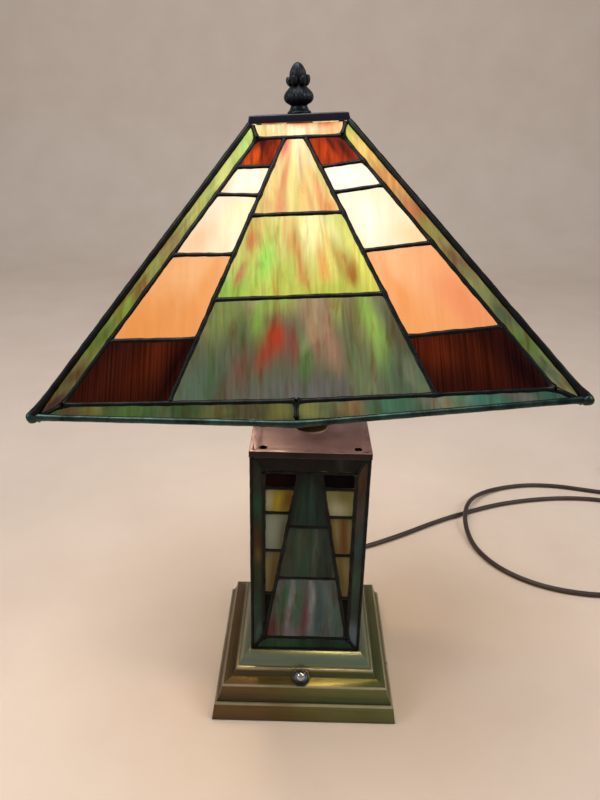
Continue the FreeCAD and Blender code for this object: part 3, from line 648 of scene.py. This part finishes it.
# The tower's paint also holds painted shadow of the lampshade: its upper tiles are painted darker, the top
# strip nearly black, and its lowest parts paler.
TOWER_PAINT_AND_SHADOW = {
    "centre_low": ("streaky", "66756f", [
        (6, 10, 10, 30, "6e3e3c"), (16, 60, 5, 40, "4d8258"), (27, 55, 4, 50, "a3a6ad"),
        (36, 60, 3.5, 40, "5a8a66"), (48, 35, 4.5, 40, "7c5052"), (56, 60, 3.5, 50, "b0aeb4"),
        (68, 40, 5, 50, "4f6d6e"), (82, 60, 6, 40, "788a88"), (93, 30, 6, 40, "5a7266"),
        (30, 6, 12, 16, "8c7f86")]),
    "centre_mid": ("streaky", "3c4d40", [
        (30, 60, 6, 50, "53684f"), (50, 40, 5, 50, "3a6048"), (66, 60, 4, 50, "5d6a58"),
        (85, 40, 8, 50, "33443e"), (12, 30, 7, 40, "4f5444"), (42, 80, 4, 30, "5a5a48")]),
    "centre_high": ("streaky", "22392f", [
        (50, 100, 90, 35, "151c14"), (30, 45, 10, 40, "2a4a3c"), (60, 45, 8, 40, "335049"),
        (85, 30, 10, 40, "1f3430")]),
    "left0": ("reeded", "15140f", [(50, 60, 30, 40, "23201a")]),
    "left1": ("opal", "7a6a3c", [(25, 60, 20, 50, "8f8a5c"), (70, 50, 20, 40, "6b5a30")]),
    "left2": ("opal", "8f9c86", [(30, 60, 25, 50, "aab4a0"), (85, 50, 14, 60, "6f6a48")]),
    "left3": ("opal", "98832c", [
        (18, 50, 14, 50, "c4c49c"), (48, 45, 14, 50, "c4b62c"), (85, 60, 16, 50, "7c5a1e")]),
    "left4": ("reeded", "150609", [(40, 50, 30, 50, "240a10")]),
    "right0": ("reeded", "13170f", [(50, 60, 30, 40, "1d241a")]),
    "right1": ("opal", "827040", [(70, 70, 25, 40, "96875a"), (30, 30, 20, 40, "76683c")]),
    "right2": ("opal", "7c6634", [
        (30, 70, 16, 40, "a39a68"), (60, 50, 16, 60, "7a4f22"), (85, 60, 10, 50, "928a5c")]),
    "right3": ("opal", "9a9860", [(40, 30, 30, 30, "c9c6a8"), (70, 80, 30, 30, "8a8448")]),
    "right4": ("reeded", "0b070b", [(50, 50, 30, 50, "130a11")]),
    "border_top": ("streaky", "1b1713", [(30, 50, 20, 60, "241c18"), (80, 50, 15, 60, "181f1b")]),
    "border_left": ("streaky", "333a28", [
        (50, 95, 60, 6, "3a3a30"), (50, 80, 60, 6, "2b5a40"), (50, 62, 60, 5, "54371e"),
        (60, 52, 40, 5, "75602c"), (50, 40, 60, 6, "3a4428"), (50, 20, 60, 8, "34513f"),
        (50, 5, 60, 5, "4a6258")]),
    "border_right": ("streaky", "3d4a40", [
        (50, 92, 60, 8, "5b3a28"), (50, 75, 60, 6, "60504a"), (50, 58, 60, 6, "3c5658"),
        (50, 40, 60, 8, "46604a"), (50, 22, 60, 6, "3a4a42"), (50, 7, 60, 7, "70808a")]),
    "border_low_a": ("streaky", "2c4a36", [(30, 50, 15, 60, "3a5c42"), (70, 50, 12, 60, "26382e")]),
}


def name_tiles(tiles):
    """Give each tile its place: the bottom strips, the column above them, and then the wings."""
    floor = min(c.y for t in tiles for c in t["hull"])
    lows = [t for t in tiles if max(c.y for c in t["hull"]) < floor + STRIP_TOP
            and min(c.y for c in t["hull"]) < floor + STRIP_FOOT]
    for t in lows:
        t["kind"] = "border_low_a" if t["centre"].x < STRIP_JOINT else "border_low_b"
    column = [t for t in tiles if abs(t["centre"].x) < COLUMN_HALF and t not in lows]
    column.sort(key=lambda t: t["centre"].y)
    for t, kind in zip(column, ("centre_low", "centre_mid", "centre_high", "border_top")):
        t["kind"] = kind
    for side, sign in (("left", -1), ("right", 1)):
        rest = [t for t in tiles if "kind" not in t and sign * t["centre"].x > 0]
        edge = max(rest, key=lambda t: t["corners"][3].y - t["corners"][0].y)
        edge["kind"] = "border_" + side
        rest.remove(edge)
        for i, t in enumerate(sorted(rest, key=lambda t: t["centre"].y)):
            t["kind"] = side + str(i)


def paint_at(s, t, paint, seed, shift):
    """Colour of a tile at (s, t): spots over the ground, bent like glass pulled while hot."""
    slow = noise.noise(Vector((s * 2.5 + seed, t * 1.3, seed)))
    quick = noise.noise(Vector((s * 9 - seed, t * 2.2, 5 + seed)))
    s, t = s + 0.04 * slow + 0.03 * quick, t + 0.05 * quick + 0.03 * slow
    colour = Vector(C(paint[1]))
    for k, (across, up, half_wide, half_high, spot) in enumerate(paint[2]):
        dx = (100 * (s - shift * sin(7 * k + seed)) - across) / half_wide
        dy = (100 * (t - shift * cos(5 * k + seed)) - up) / half_high
        colour = colour.lerp(Vector(C(spot)), min(1.0, 1.15 * exp(-dx * dx - dy * dy)))
    return colour


def add_glass(name, panel, tiles, paints, mats, turn, glow):
    """All the tiles of one panel as thin slabs of slightly rippled glass, with their paint."""
    verts, faces, finish, colours, places = [], [], [], [], []
    order = list(mats)
    for index, tile in enumerate(tiles):
        paint = paints[tile["kind"]]
        low_l, low_r, high_r, high_l = tile["corners"]
        nx = max(2, round(max((low_r - low_l).length, (high_r - high_l).length) / TILE_STEP))
        ny = max(2, round(max((high_l - low_l).length, (high_r - low_r).length) / TILE_STEP))
        seed = 3.7 * index + 11.3 * turn
        start, row, layer_size = len(verts), nx + 1, (nx + 1) * (ny + 1)
        for back, j, i in product((False, True), range(ny + 1), range(row)):
            s, t = i / nx, j / ny
            p = low_l.lerp(low_r, s).lerp(high_l.lerp(high_r, s), t)
            wave = noise.noise(panel.place(p.x, p.y, tile["face"]) * 55)
            where = panel.place(p.x, p.y, tile["back"] if back else tile["face"] + RIPPLE * wave - RIPPLE_IN)
            verts.append(where)
            # The paint is multiplied by the glow: painted light of the bulbs, brighter on shade glass near
            # them.
            colours += [*paint_at(s, t, paint, seed, SPOT_SHIFT if turn else 0.0) * glow(where), 1.0]
            places += [p.x, p.y, seed]
        for back, j, i in product((False, True), range(ny), range(nx)):
            a = start + back * layer_size + j * row + i
            quad = (a, a + 1, a + row + 1, a + row)
            faces.append(quad[::-1] if back else quad)
        rim = [i for i in range(nx)] + [nx + j * row for j in range(ny)]
        rim += [ny * row + i for i in range(nx, 0, -1)] + [j * row for j in range(ny, 0, -1)]
        for a, b in zip(rim, rim[1:] + rim[:1]):
            faces.append((start + b, start + a, start + layer_size + a, start + layer_size + b))
        finish += [order.index(paint[0])] * (len(faces) - len(finish))
    mesh = new_mesh(name, verts, faces)
    mesh.polygons.foreach_set("material_index", finish)
    mesh.attributes.new("paint", "FLOAT_COLOR", "POINT").data.foreach_set("color", colours)
    mesh.attributes.new("panel", "FLOAT_VECTOR", "POINT").data.foreach_set("vector", places)
    clean(mesh, 1e-6)
    ob = new_object(name, mesh, [mats[k] for k in order])
    smooth(ob, 30)
    return ob


def art_glass(kind, lit):
    """Glass of one finish. Its colour is the paint on the mesh, broken up by fine pulled streaks."""
    g = Graph(kind + ("_glass_lit" if lit else "_glass"))
    paint, place = g.attribute("paint", 0), g.attribute("panel", 1)
    fine = g.pulled(place, (420, 30, 1), 3.0)
    wisps = g.pulled(place, (110, 14, 1), 4.0, 0.6, 0.8)
    if kind == "streaky":
        rose = g.pulled(place, (150, 24, 1), 3.0, 0.55, 0.9, (2, 5, 4))
        leaf = g.pulled(place, (120, 22, 1), 3.0, 0.55, 0.9, (8, 3, 7))
        cloud = g.pulled(place, (38, 17, 1), 3.0, 0.5, 0.6)
        colour = g.tint(paint, g.ramp(rose, (0.52, 0.0), (0.70, 0.7)), C("f2ac8c"))
        colour = g.tint(colour, g.ramp(leaf, (0.54, 0.0), (0.72, 0.6)), C("c8eca0"))
        colour = g.tint(colour, 1.0, g.ramp(fine, (0.3, 0.84), (0.7, 1.13)))
        colour = g.tint(colour, g.ramp(wisps, (0.56, 0.0), (0.74, 0.6)), C("cf9c6c"))
        light = g.mix(0.3, colour, C("fff2b4") if lit else C("a9b0b4"))
        colour = g.mix(g.ramp(cloud, (0.56, 0.0), (0.80, 0.6)), colour, light)
    elif kind == "opal":
        colour = g.tint(paint, 1.0, g.ramp(wisps, (0.3, C("f8efe6")), (0.65, C("ffffff"))))
        colour = g.tint(colour, 1.0, g.ramp(fine, (0.3, 0.98), (0.7, 1.01)))
    elif kind == "red":
        colour = g.tint(paint, 1.0, g.ramp(wisps, (0.36, C("70402c")), (0.58, C("ffffff"))))
        colour = g.tint(colour, 1.0, g.ramp(fine, (0.3, 0.75), (0.7, 1.2)))
    else:
        reeds = g.pulled(place, (900, 12, 1), 2.0)
        colour = g.tint(paint, 1.0, g.ramp(reeds, (0.35, 0.55), (0.62, 1.35)))
    grain = g.calc("MULTIPLY", fine, 0.5 if kind == "reeded" else 0.08)
    relief = g.calc("ADD", g.noise(g.object(), 70.0, 2.0), grain)
    g.set(Normal=g.bump(relief, 0.35, 0.0006), Roughness=0.16,
          Specular_IOR_Level=0.02 if kind in ("red", "reeded") else 0.12)
    # Lit glass glows with its own colour: painted light of the bulbs shining through it.
    if lit:
        g.set(Emission_Color=colour, Emission_Strength=GLASS_GLOW)
    return g.set(Base_Color=g.tint(colour, 1.0, C("6a6a6a" if lit else "c4c4c4")))


# ---- metals and plastics
def metal(name, dark, light, rough, metallic=0.9, cloud_scale=30.0, relief=0.15, painted_shade_reach=0.0):
    """Patinated metal: clouded colour and gloss over fine grain, with painted shade in its corners when a
    reach for that shade is given.
    """
    g = Graph(name)
    p = g.object()
    cloud = g.noise(p, cloud_scale, 4.0)
    colour = g.ramp(cloud, (0.32, C(dark)), (0.68, C(light)))
    if painted_shade_reach:
        # Painted shade in the corners, as far as the given reach.
        painted_hollow_shade = g.add("AmbientOcclusion", out=1, Distance=painted_shade_reach)
        colour = g.tint(colour, g.ramp(painted_hollow_shade, (0.35, 1.0), (0.95, 0.0)), C("5c554c"))
    return g.set(Base_Color=colour, Metallic=metallic, Normal=g.bump(g.noise(p, 900.0, 2.0), relief, 0.0002),
                 Roughness=g.ramp(cloud, (0.3, rough + 0.07), (0.7, rough - 0.05)))


# At each height in mm: how dark the painted shade in the plinth's hollows and at the foot of its step is,
# where its edges get painted highlights, and where its crown gets a pale painted reflection of the lit shade.
PLINTH_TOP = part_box("plinth_casting")[1].z
PLINTH_PAINTED_SHADE = [(0.0, 0.8), (13.6, 1.0), (16.8, 1.0), (17.3, 0.3), (19.5, 0.7), (27.5, 0.95), (32.8, 0.8),
               (33.6, 0.5), (36.4, 0.7), (37.4, 1.0), (48.0, 0.85), (49.6, 0.6)]
PLINTH_EDGE_HIGHLIGHTS = [(15.0, 0.0), (15.7, 1.0), (16.8, 1.0), (17.1, 0.0), (29.3, 0.0), (30.0, 1.0), (31.0, 1.0),
                (31.4, 0.0), (37.5, 0.0), (38.1, 1.0), (39.4, 1.0), (39.9, 0.0)]
PLINTH_CROWN_REFLECTION = [(38.6, 0.0), (41.0, 0.6)]
RING_HEIGHT = 4 * MM                    # of the neck's foot ring


def antique_brass():
    """Plated plinth: olive brass with a painted reflection from brown at the left to olive at the right,
    painted highlights on its edges, a pale painted reflection on its crown, painted shade in its hollows, and
    faint level polishing lines.
    """
    g = Graph("antique_brass")
    p = g.object()
    cloud = g.noise(p, 16.0, 4.0)
    broad = g.pulled(p, (7, 7, 7), 2.0, shift=(3, 1, 2))
    lines = g.pulled(p, (14, 14, 900), 3.0)
    level = g.calc("ADD", g.place_along(p, 2), g.calc("MULTIPLY", lines, 0.4 * MM))
    level = g.calc("MULTIPLY", level, 1 / PLINTH_TOP)

    def at_heights(stops):
        return g.ramp(level, *[(z * MM / PLINTH_TOP, value) for z, value in stops])

    # Painted reflection: the colour shifts from brown at the left to olive at the right.
    painted_side_reflection = g.calc("ADD", g.calc("MULTIPLY", g.place_along(p, 0), 5.0), broad)
    colour = g.ramp(painted_side_reflection, (0.05, C("69523a")), (0.40, C("6e613c")), (0.62, C("6a6a40")), (0.95, C("68704a")))
    colour = g.tint(colour, 1.0, g.ramp(cloud, (0.3, 0.82), (0.7, 1.15)))
    colour = g.tint(colour, 1.0, g.ramp(lines, (0.3, 0.8), (0.7, 1.12)))
    # Painted shade by height, in the hollows and at the step's foot.
    colour = g.tint(colour, 1.0, at_heights(PLINTH_PAINTED_SHADE))
    # Painted highlights along the edges, broken up by the cloud; they also make the edges less metallic.
    painted_edge_highlight = g.calc("MULTIPLY", at_heights(PLINTH_EDGE_HIGHLIGHTS), g.ramp(cloud, (0.30, 0.35), (0.65, 1.0)))
    colour = g.mix(painted_edge_highlight, colour, C("a49c80"))
    # Painted reflection of the lit shade, pale on the crown.
    colour = g.mix(at_heights(PLINTH_CROWN_REFLECTION), colour, C("869680"))
    # Painted shade in the hollows.
    painted_hollow_shade = g.add("AmbientOcclusion", out=1, Distance=0.0035)
    colour = g.mix(g.ramp(painted_hollow_shade, (0.45, 0.9), (0.85, 0.0)), colour, C("201a10"))
    return g.set(Base_Color=colour, Metallic=g.calc("SUBTRACT", 0.9, g.calc("MULTIPLY", painted_edge_highlight, 0.6)),
                 Normal=g.bump(lines, 0.08, 0.0003), Roughness=g.ramp(cloud, (0.3, 0.40), (0.7, 0.27)))


def neck_ring():
    """Dark bronze ring, pale in a band at its foot where it meets the top plate."""
    g = Graph("neck_ring")
    p = g.object()
    cloud = g.noise(p, 50.0, 4.0)
    colour = g.ramp(cloud, (0.32, C("2c241a")), (0.68, C("4a3c2a")))
    level = g.calc("MULTIPLY", g.calc("SUBTRACT", g.place_along(p, 2), TOP_PLATE_Z), 1 / RING_HEIGHT)
    return g.set(Base_Color=g.mix(g.ramp(level, (0.30, 1.0), (0.44, 0.0)), colour, C("c4b8ae")),
                 Metallic=0.85, Roughness=g.ramp(cloud, (0.3, 0.38), (0.7, 0.26)))


def grained(name, grain, dark, light, spread, bump=None, **values):
    """Plastic, cloth or bulb glass: its colour and relief follow one grain, given as scale and detail."""
    g = Graph(name)
    height = g.noise(g.object(), *grain)
    if bump:
        values["Normal"] = g.bump(height, *bump)
    return g.set(Base_Color=g.ramp(height, (0.5 - spread, C(dark)), (0.5 + spread, C(light))), **values)


# ---- pieces


def soften(name, node, body, slot, width, *mats, painted_shade_slot=None):
    """A node's shape with soft edges. The last material goes on the edges, where a paler one is a painted
    highlight, and upright faces get the material at the given slot as painted shade.
    """
    mesh = NODES[node].data.copy()
    mesh.materials.clear()
    clean(mesh, 2e-6, radians(1.0))
    if painted_shade_slot is not None:
        for p in mesh.polygons:
            p.material_index = painted_shade_slot if abs(p.normal.z) < 0.5 else 0
    ob = new_object(name, mesh, mats)
    mod = ob.modifiers.new("bevel", "BEVEL")
    mod.width, mod.segments, mod.limit_method, mod.angle_limit = width, 3, "ANGLE", radians(28)
    mod.material = len(mats) - 1
    bpy.context.view_layer.update()
    ready = ob.evaluated_get(bpy.context.evaluated_depsgraph_get())
    mesh = bpy.data.meshes.new_from_object(ready)
    ob.modifiers.clear()
    ob.data = mesh
    smooth(ob, 40)
    finish_piece(ob, body, slot, node)


# Radius and height on the finial's outline. A leaf's slices: radius, height, half width and thickness.
FINIAL_PROFILE = [
    (8.0, 0), (8.1, 0.5), (7.9, 1.1), (6.9, 1.9), (6.1, 3.2), (5.6, 4.5), (5.7, 5.1), (6.9, 5.7),
    (8.5, 6.7), (9.6, 8.0), (10.1, 9.4), (10.0, 11.0), (9.3, 12.6), (8.2, 14.0), (7.0, 15.2), (6.0, 16.2),
    (5.5, 17.0), (5.2, 17.8), (5.3, 18.8), (5.6, 20.4), (5.8, 22.2), (5.7, 24.0), (5.3, 25.8), (4.6, 27.4),
    (3.8, 28.8), (2.9, 30.0), (1.9, 30.8), (1.0, 31.25), (0.3, 31.4)]
LEAF_PROFILE = [(4.2, 16.4, 1.2, 0.9), (5.2, 17.2, 2.0, 1.3), (6.0, 18.5, 2.6, 1.5), (6.4, 20.0, 2.8, 1.5),
                (6.6, 21.4, 2.5, 1.3), (6.6, 22.6, 1.8, 1.0), (6.5, 23.3, 0.9, 0.6)]


def add_finial(mat):
    """Cast finial: a ribbed knob, a bud with twisted lobes, and six leaves round the bud's foot."""
    along = [(v.co - FOOT).dot(SHADE_UP) for v in NODES["finial"].data.vertices]
    k = (max(along) - min(along)) / FINIAL_PROFILE[-1][1]
    lean = SHADE_UP.rotation_difference(UP).inverted().to_matrix().to_4x4()
    stand = Matrix.Translation(FOOT + SHADE_UP * min(along)) @ lean
    knob_low, knob_high, bud = 5.4 * k, 16.0 * k, 17.6 * k

    def ridges(r, h, a):
        if knob_low < h < knob_high:
            w = sin(pi * (h - knob_low) / (knob_high - knob_low))
            return r * (1 - 0.07 * w * (1 - abs(cos(8 * a + 0.3)) ** 0.7)), h
        if h > bud:
            w = min(1.0, (h - bud) / (2 * k)) * (1.0 if r > k else 0.4)
            return r * (1 - 0.11 * w * (1 - abs(cos(5 * a + 0.25 * sin(h / k * 0.9))) ** 0.8)), h
        return r, h

    b = Build()
    b.lathe(stand, [(r * k, h * k) for r, h in FINIAL_PROFILE], 132, ridges)
    root = LEAF_PROFILE[0][1]
    for turn, lift in enumerate((1.06, 0.96, 1.02, 0.90, 1.0, 0.97)):
        spin = stand @ turned(radians(60 * turn + 4), "Z")
        rings = []
        for r, h, half, thick in LEAF_PROFILE:
            height = root + (h - root) * lift
            reach = [(a, r + thick * sin(a) - 0.4 * abs(cos(a)) - 0.25 * cos(6 * a)) for a in angles(20)]
            rings.append([spin @ Vector((x * k, half * cos(a) * k, height * k)) for a, x in reach])
        b.loft(rings)
    b.piece("finial_cast", mat, 60, "finial", "dark_bronze", "finial")


def add_strain_relief(mat):
    """Tapered and ribbed sleeve where the cord leaves the plinth."""
    low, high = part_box("cord_strain_relief")
    tip, foot, collar, groove = 3.35 * MM, 5.4 * MM, 2.6 * MM, 1.0 * MM
    long, ribs = EXIT[1] - RELIEF_START, 8
    profile = [(4.2 * MM, -5 * MM), (foot, 0.0), (foot, collar)]
    pitch = (long - 4.0 * MM) / ribs
    for i in range(ribs):
        h = collar + pitch * i
        r = foot + (tip - foot) * (h / long)
        profile += [(r - groove, h + 0.25 * pitch), (r - groove, h + 0.42 * pitch),
                    (r, h + 0.62 * pitch), (r - 0.05 * MM, h + 0.98 * pitch)]
    profile += [(tip, long - 0.5 * MM), (tip - 0.4 * MM, long), (CORD_R - 0.2 * MM, long)]
    b = Build()
    start = Matrix.Translation((EXIT[0], RELIEF_START, (low.z + high.z) / 2))
    b.lathe(start @ turned(-pi / 2, "X"), profile, 40)
    b.piece("strain_relief", mat, 35, "base", "cord_jacket", "cord_strain_relief")


def squared_ring(half_u, half_v, power_u, power_v, count):
    """Points (u, v) of an oval pushed out towards its box, the more so the lower the powers."""
    return [(half_u * copysign(abs(cos(a)) ** power_u, cos(a)),
             half_v * copysign(abs(sin(a)) ** power_v, sin(a))) for a in angles(count)]


def add_plug(mat):
    """Moulded plug: a waisted body with finger grooves, lofted from the cord end to the blades."""
    low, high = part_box("plug_body")
    mid = (low + high) / 2
    half_w, half_h = (high.y - low.y) / 2 - 0.1 * MM, (high.z - low.z) / 2 - 0.1 * MM
    rings = []
    for f in (i / 40 for i in range(41)):
        swell = 0.36 + 0.64 * sin(min(1.0, f / 0.55) * pi / 2) ** 1.3
        groove = 0.05 * sin(f * 40) if 0.45 < f < 0.85 else 0.0
        soft = 1 - 0.12 * max(0.0, (f - 0.93) / 0.07) ** 2
        w, h = half_w * (swell - groove) * soft, half_h * min(1.0, swell + 0.06) * soft
        x = high.x - (high.x - low.x) * f
        rings.append([(x, mid.y + u, mid.z + v) for u, v in squared_ring(w, h, 0.55, 0.55, 36)])
    b = Build()
    b.loft(rings)
    return b.piece("moulded_plug", mat, 50, "base", "cord_jacket", "plug_body")


def add_cord_tie(mat):
    """Band round the put-away turns, on the side away from the plug."""
    low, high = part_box("cord_coil")
    centre, middle = coil_ring()
    rings = []
    for along, thick in ((-2.6, 0.1), (-2.4, 0.45), (2.4, 0.45), (2.6, 0.1)):
        half_u, half_v = 2 * CORD_R + thick * MM, (high.z - low.z) / 2 - 0.5 * MM + thick * MM * 0.8
        rings.append([(centre.x + middle + u, centre.y + along * MM, max(centre.z + v, 0.06 * MM))
                      for u, v in squared_ring(half_u, half_v, 0.7, 0.8, 32)])
    b = Build()
    b.loft(rings)
    b.piece("cord_tie", mat, 40, "base", "black_plastic")


def add_shade_edges(hip_metal, rim_metal):
    """Hip seams, rim bead and the lumps of solder at the lower corners."""
    balls = [middle_of(p) for p in loose_parts("shade_corner_solder")]
    hips, rim, lumps = Build(), Build(), Build()
    for i, part in enumerate(loose_parts("shade_hip_beads")):
        ball = min(balls, key=lambda c: min((p - c).length for p in part))
        far = max((p - ball).length for p in part)
        top = middle_of([p for p in part if (p - ball).length > far - END_REACH])
        out = middle_of(part) - FOOT
        out = (out - SHADE_UP * out.dot(SHADE_UP)).normalized()
        top += (top - ball).normalized() * HIP_REACH
        hips.bead([ball, top], out, HIP_BEAD, HIP_BEAD, 20 + i, 0.12, [ball], (0.6, 8 * MM), 2.6 * MM, 14)
    rim_points = [p for part in loose_parts("shade_rim") for p in part]
    around = sorted(balls, key=lambda c: atan2(c.y, c.x))
    for i, (a, b) in enumerate(zip(around, around[1:] + around[:1])):
        d = b - a
        m = middle_of([p for p in rim_points if 0.25 < (p - a).dot(d) / d.length_squared < 0.75
                       and (p - a).cross(d).length / d.length < RIM_REACH])
        rim.bead([a, m, b], SHADE_UP, RIM_BEAD, RIM_BEAD, 30 + i, 0.08, [a, m, b], (0.3, 6 * MM), 3 * MM, 14)
    slices = [pi * (k + 0.4) / 18.8 for k in range(19)]
    for i, c in enumerate(balls):

        def lumpy(r, h, a, seed=i):
            q = Vector((r * cos(a), r * sin(a), h))
            grow = 1 + 0.16 * noise.noise(q * 260 + Vector((seed * 3.1, 0, 0)))
            return r * grow, h * grow

        lumps.lathe(Matrix.Translation(c), [(LUMP_R * sin(a), -LUMP_R * cos(a)) for a in slices], 28, lumpy)
    hips.piece("hip_seams", hip_metal, 60, "shade", "solder", "shade_hip_beads")
    rim.piece("rim_bead", rim_metal, 60, "shade", "solder", "shade_rim")
    lumps.piece("corner_lumps", rim_metal, 60, "shade", "solder", "shade_corner_solder")


def add_tower_corners(mat):
    b = Build()
    for i, part in enumerate(loose_parts("tower_corner_beads")):
        c = middle_of(part)
        low, high = min(p.z for p in part), max(p.z for p in part)
        x, y = copysign(CORNER_PLACE, c.x), copysign(CORNER_PLACE, c.y)
        b.bead([Vector((x, y, low + CORNER_LIFT)), Vector((x, y, high))], Vector((c.x, c.y, 0)).normalized(),
               CORNER_BEAD, CORNER_BEAD, 40 + i, 0.10, sides=12)
    b.piece("tower_corner_seams", mat, 60, "base", "solder", "tower_corner_beads")


def add_panel(part, side, turn, up, body, paints, mats, seam_metal, glow):
    """Glass and solder of one side of the shade or the tower."""
    came = f"{part}_came_{side}"
    nodes = ["tower_glass_" + side]
    if part == "shade":
        nodes = [f"shade_{k}_glass_{side}" for k in ("centre", "wing", "border")]
    panel = Panel(came, nodes[0], up)
    tiles = panel.read(nodes)
    name_tiles(tiles)
    ob = add_glass(f"{part}_art_glass_{side}", panel, tiles, paints, mats, turn, glow)
    finish_piece(ob, body, "art_glass", *nodes)
    face, back = tiles[0]["face"], tiles[0]["back"]
    found = seam_lines(tiles)
    lines = []
    for s in found:
        level = abs((s[1] - s[0]).normalized().y) < 0.5
        if not is_outline(s, tiles) or (part == "tower" and level):
            lines.append([panel.place(*meet(s, end, found), (face + back) / 2) for end in (0, 1)])
    ends = [p for line in lines for p in line]
    b = Build()
    for i, (p, q) in enumerate(lines):
        near = [e for e in ends if (e - p).length + (e - q).length < (q - p).length + NEAR_END]
        b.bead([p, q], panel.n, SEAM_WIDE, (face - back) / 2 + SEAM_PROUD, i + 50 * turn, knots=near)
    b.piece(f"{part}_seams_{side}", seam_metal, 60, body, "solder", came)


def add_panels(seam_metal):
    lit = {k: art_glass(k, True) for k in ("streaky", "opal", "red", "reeded")}
    plain = {k: art_glass(k, False) for k in ("streaky", "opal", "reeded")}
    bulbs = [sum(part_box(node), Vector()) / 2 for node in ("bulb_front", "bulb_rear")]

    def lamp_glow(p):
        return 0.94 + 0.16 * sum(exp(-((p - b).length / GLOW_REACH) ** 2) for b in bulbs)

    for turn, side in enumerate(("front", "right", "back", "left")):
        add_panel("shade", side, turn, SHADE_UP, "shade", SHADE_PAINT_AND_GLOW, lit, seam_metal, lamp_glow)
        add_panel("tower", side, turn, UP, "base", TOWER_PAINT_AND_SHADOW, plain, seam_metal, lambda p: 1.0)


# ---- build
scene.view_settings.view_transform = "Standard"
add_camera()
add_stage()
add_lights()

dark = metal("solder_dark", "0a0a09", "1d1f1d", 0.32, 0.8, 120.0, 0.3)
add_panels(dark)
add_shade_edges(dark, metal("solder_rim", "15211e", "3c5049", 0.26, 0.85, 90.0, 0.3))
add_tower_corners(dark)

add_finial(metal("dark_bronze", "1c2022", "353c40", 0.34, 0.8, 60.0, 0.3, painted_shade_reach=0.004))
# The cap's, the plinth's and the top plate's pale edge materials are painted highlights.
soften("cap_pressing", "vent_cap", "vent_cap", "dark_bronze", 0.6 * MM,
       metal("cap_bronze", "20242e", "3e2c40", 0.36, 0.85, 22.0, 0.3),
       metal("cap_edge_highlight", "3e4048", "5c606c", 0.34, 0.85, 60.0, 0.2))
soften("plinth", "plinth_casting", "base", "antique_brass", 0.55 * MM, antique_brass(),
       metal("brass_edge_highlight", "8e8664", "b4ac88", 0.30, 0.4, 30.0, 0.15))
# The top plate's dark lip material is painted shade on its upright faces.
soften("top_plate", "tower_top_plate", "base", "bronze_plate", 0.6 * MM,
       metal("plate_bronze", "4b3e50", "6e5e74", 0.42, 0.5, 34.0, 0.25),
       metal("plate_lip_shade", "1a1213", "30231f", 0.42, 0.7, 34.0, 0.25),
       metal("plate_edge_highlight", "b8aeb4", "e4dce0", 0.30, 0.8, 40.0, 0.2), painted_shade_slot=1)
soften("switch_ring", "switch_nut", "base", "chrome", 0.45 * MM,
       metal("ring_chrome", "2c2e30", "4c5052", 0.16, 1.0, 40.0, 0.03))
dress(["switch_button", "switch_bushing"], metal("chrome", "9a9c9e", "c4c6c8", 0.14, 1.0, 40.0, 0.03))

dress(["neck_tube"], metal("neck_bronze", "2c241a", "4a3c2a", 0.28, 0.9, 50.0, 0.12))
dress(["neck_foot_ring"], neck_ring())
dress(["socket_cluster", "shade_spider"], metal("bright_brass", "8a6a34", "a8884c", 0.32, 0.95, 40.0, 0.1))
dress(["main_rod", "rod_lock_nuts", "shade_seat_nut", "plinth_bottom_plate"],
      metal("zinc_steel", "7a7c7c", "9c9e9c", 0.38, 0.95, 50.0, 0.12))
dress(["plug_blades"], metal("blade_brass", "b09450", "c8ac68", 0.25, 1.0, 60.0, 0.05))
dress(["socket_front", "socket_rear", "night_light_socket", "switch_body"],
      grained("black_phenolic", (260.0, 3.0), "100f0f", "1c1a1a", 0.15, (0.12, 0.0002), Roughness=0.38))
dress(["felt_pad"], grained("felt", (700.0, 4.0), "141a14", "26302a", 0.2, (0.5, 0.0005), Roughness=0.95,
                            Sheen_Weight=0.4))
dress(["bulb_front", "bulb_rear"], grained("bulb_lit", (600.0, 2.0), "f4efe4", "fffaf0", 0.2, Roughness=0.4,
                                           Emission_Color=C("ffdca8"), Emission_Strength=BULB_LIGHT))
dress(["night_light_bulb"], grained("bulb_off", (600.0, 2.0), "f4efe4", "fffaf0", 0.2, Roughness=0.4,
                                    Emission_Color=C("fff0d8"), Emission_Strength=0.0))

jacket = cord_jacket()
plug = add_plug(jacket)
add_strain_relief(jacket)
add_cord(jacket)
add_cord_tie(grained("tie_plastic", (260.0, 3.0), "141414", "222222", 0.15, (0.12, 0.0002), Roughness=0.5))
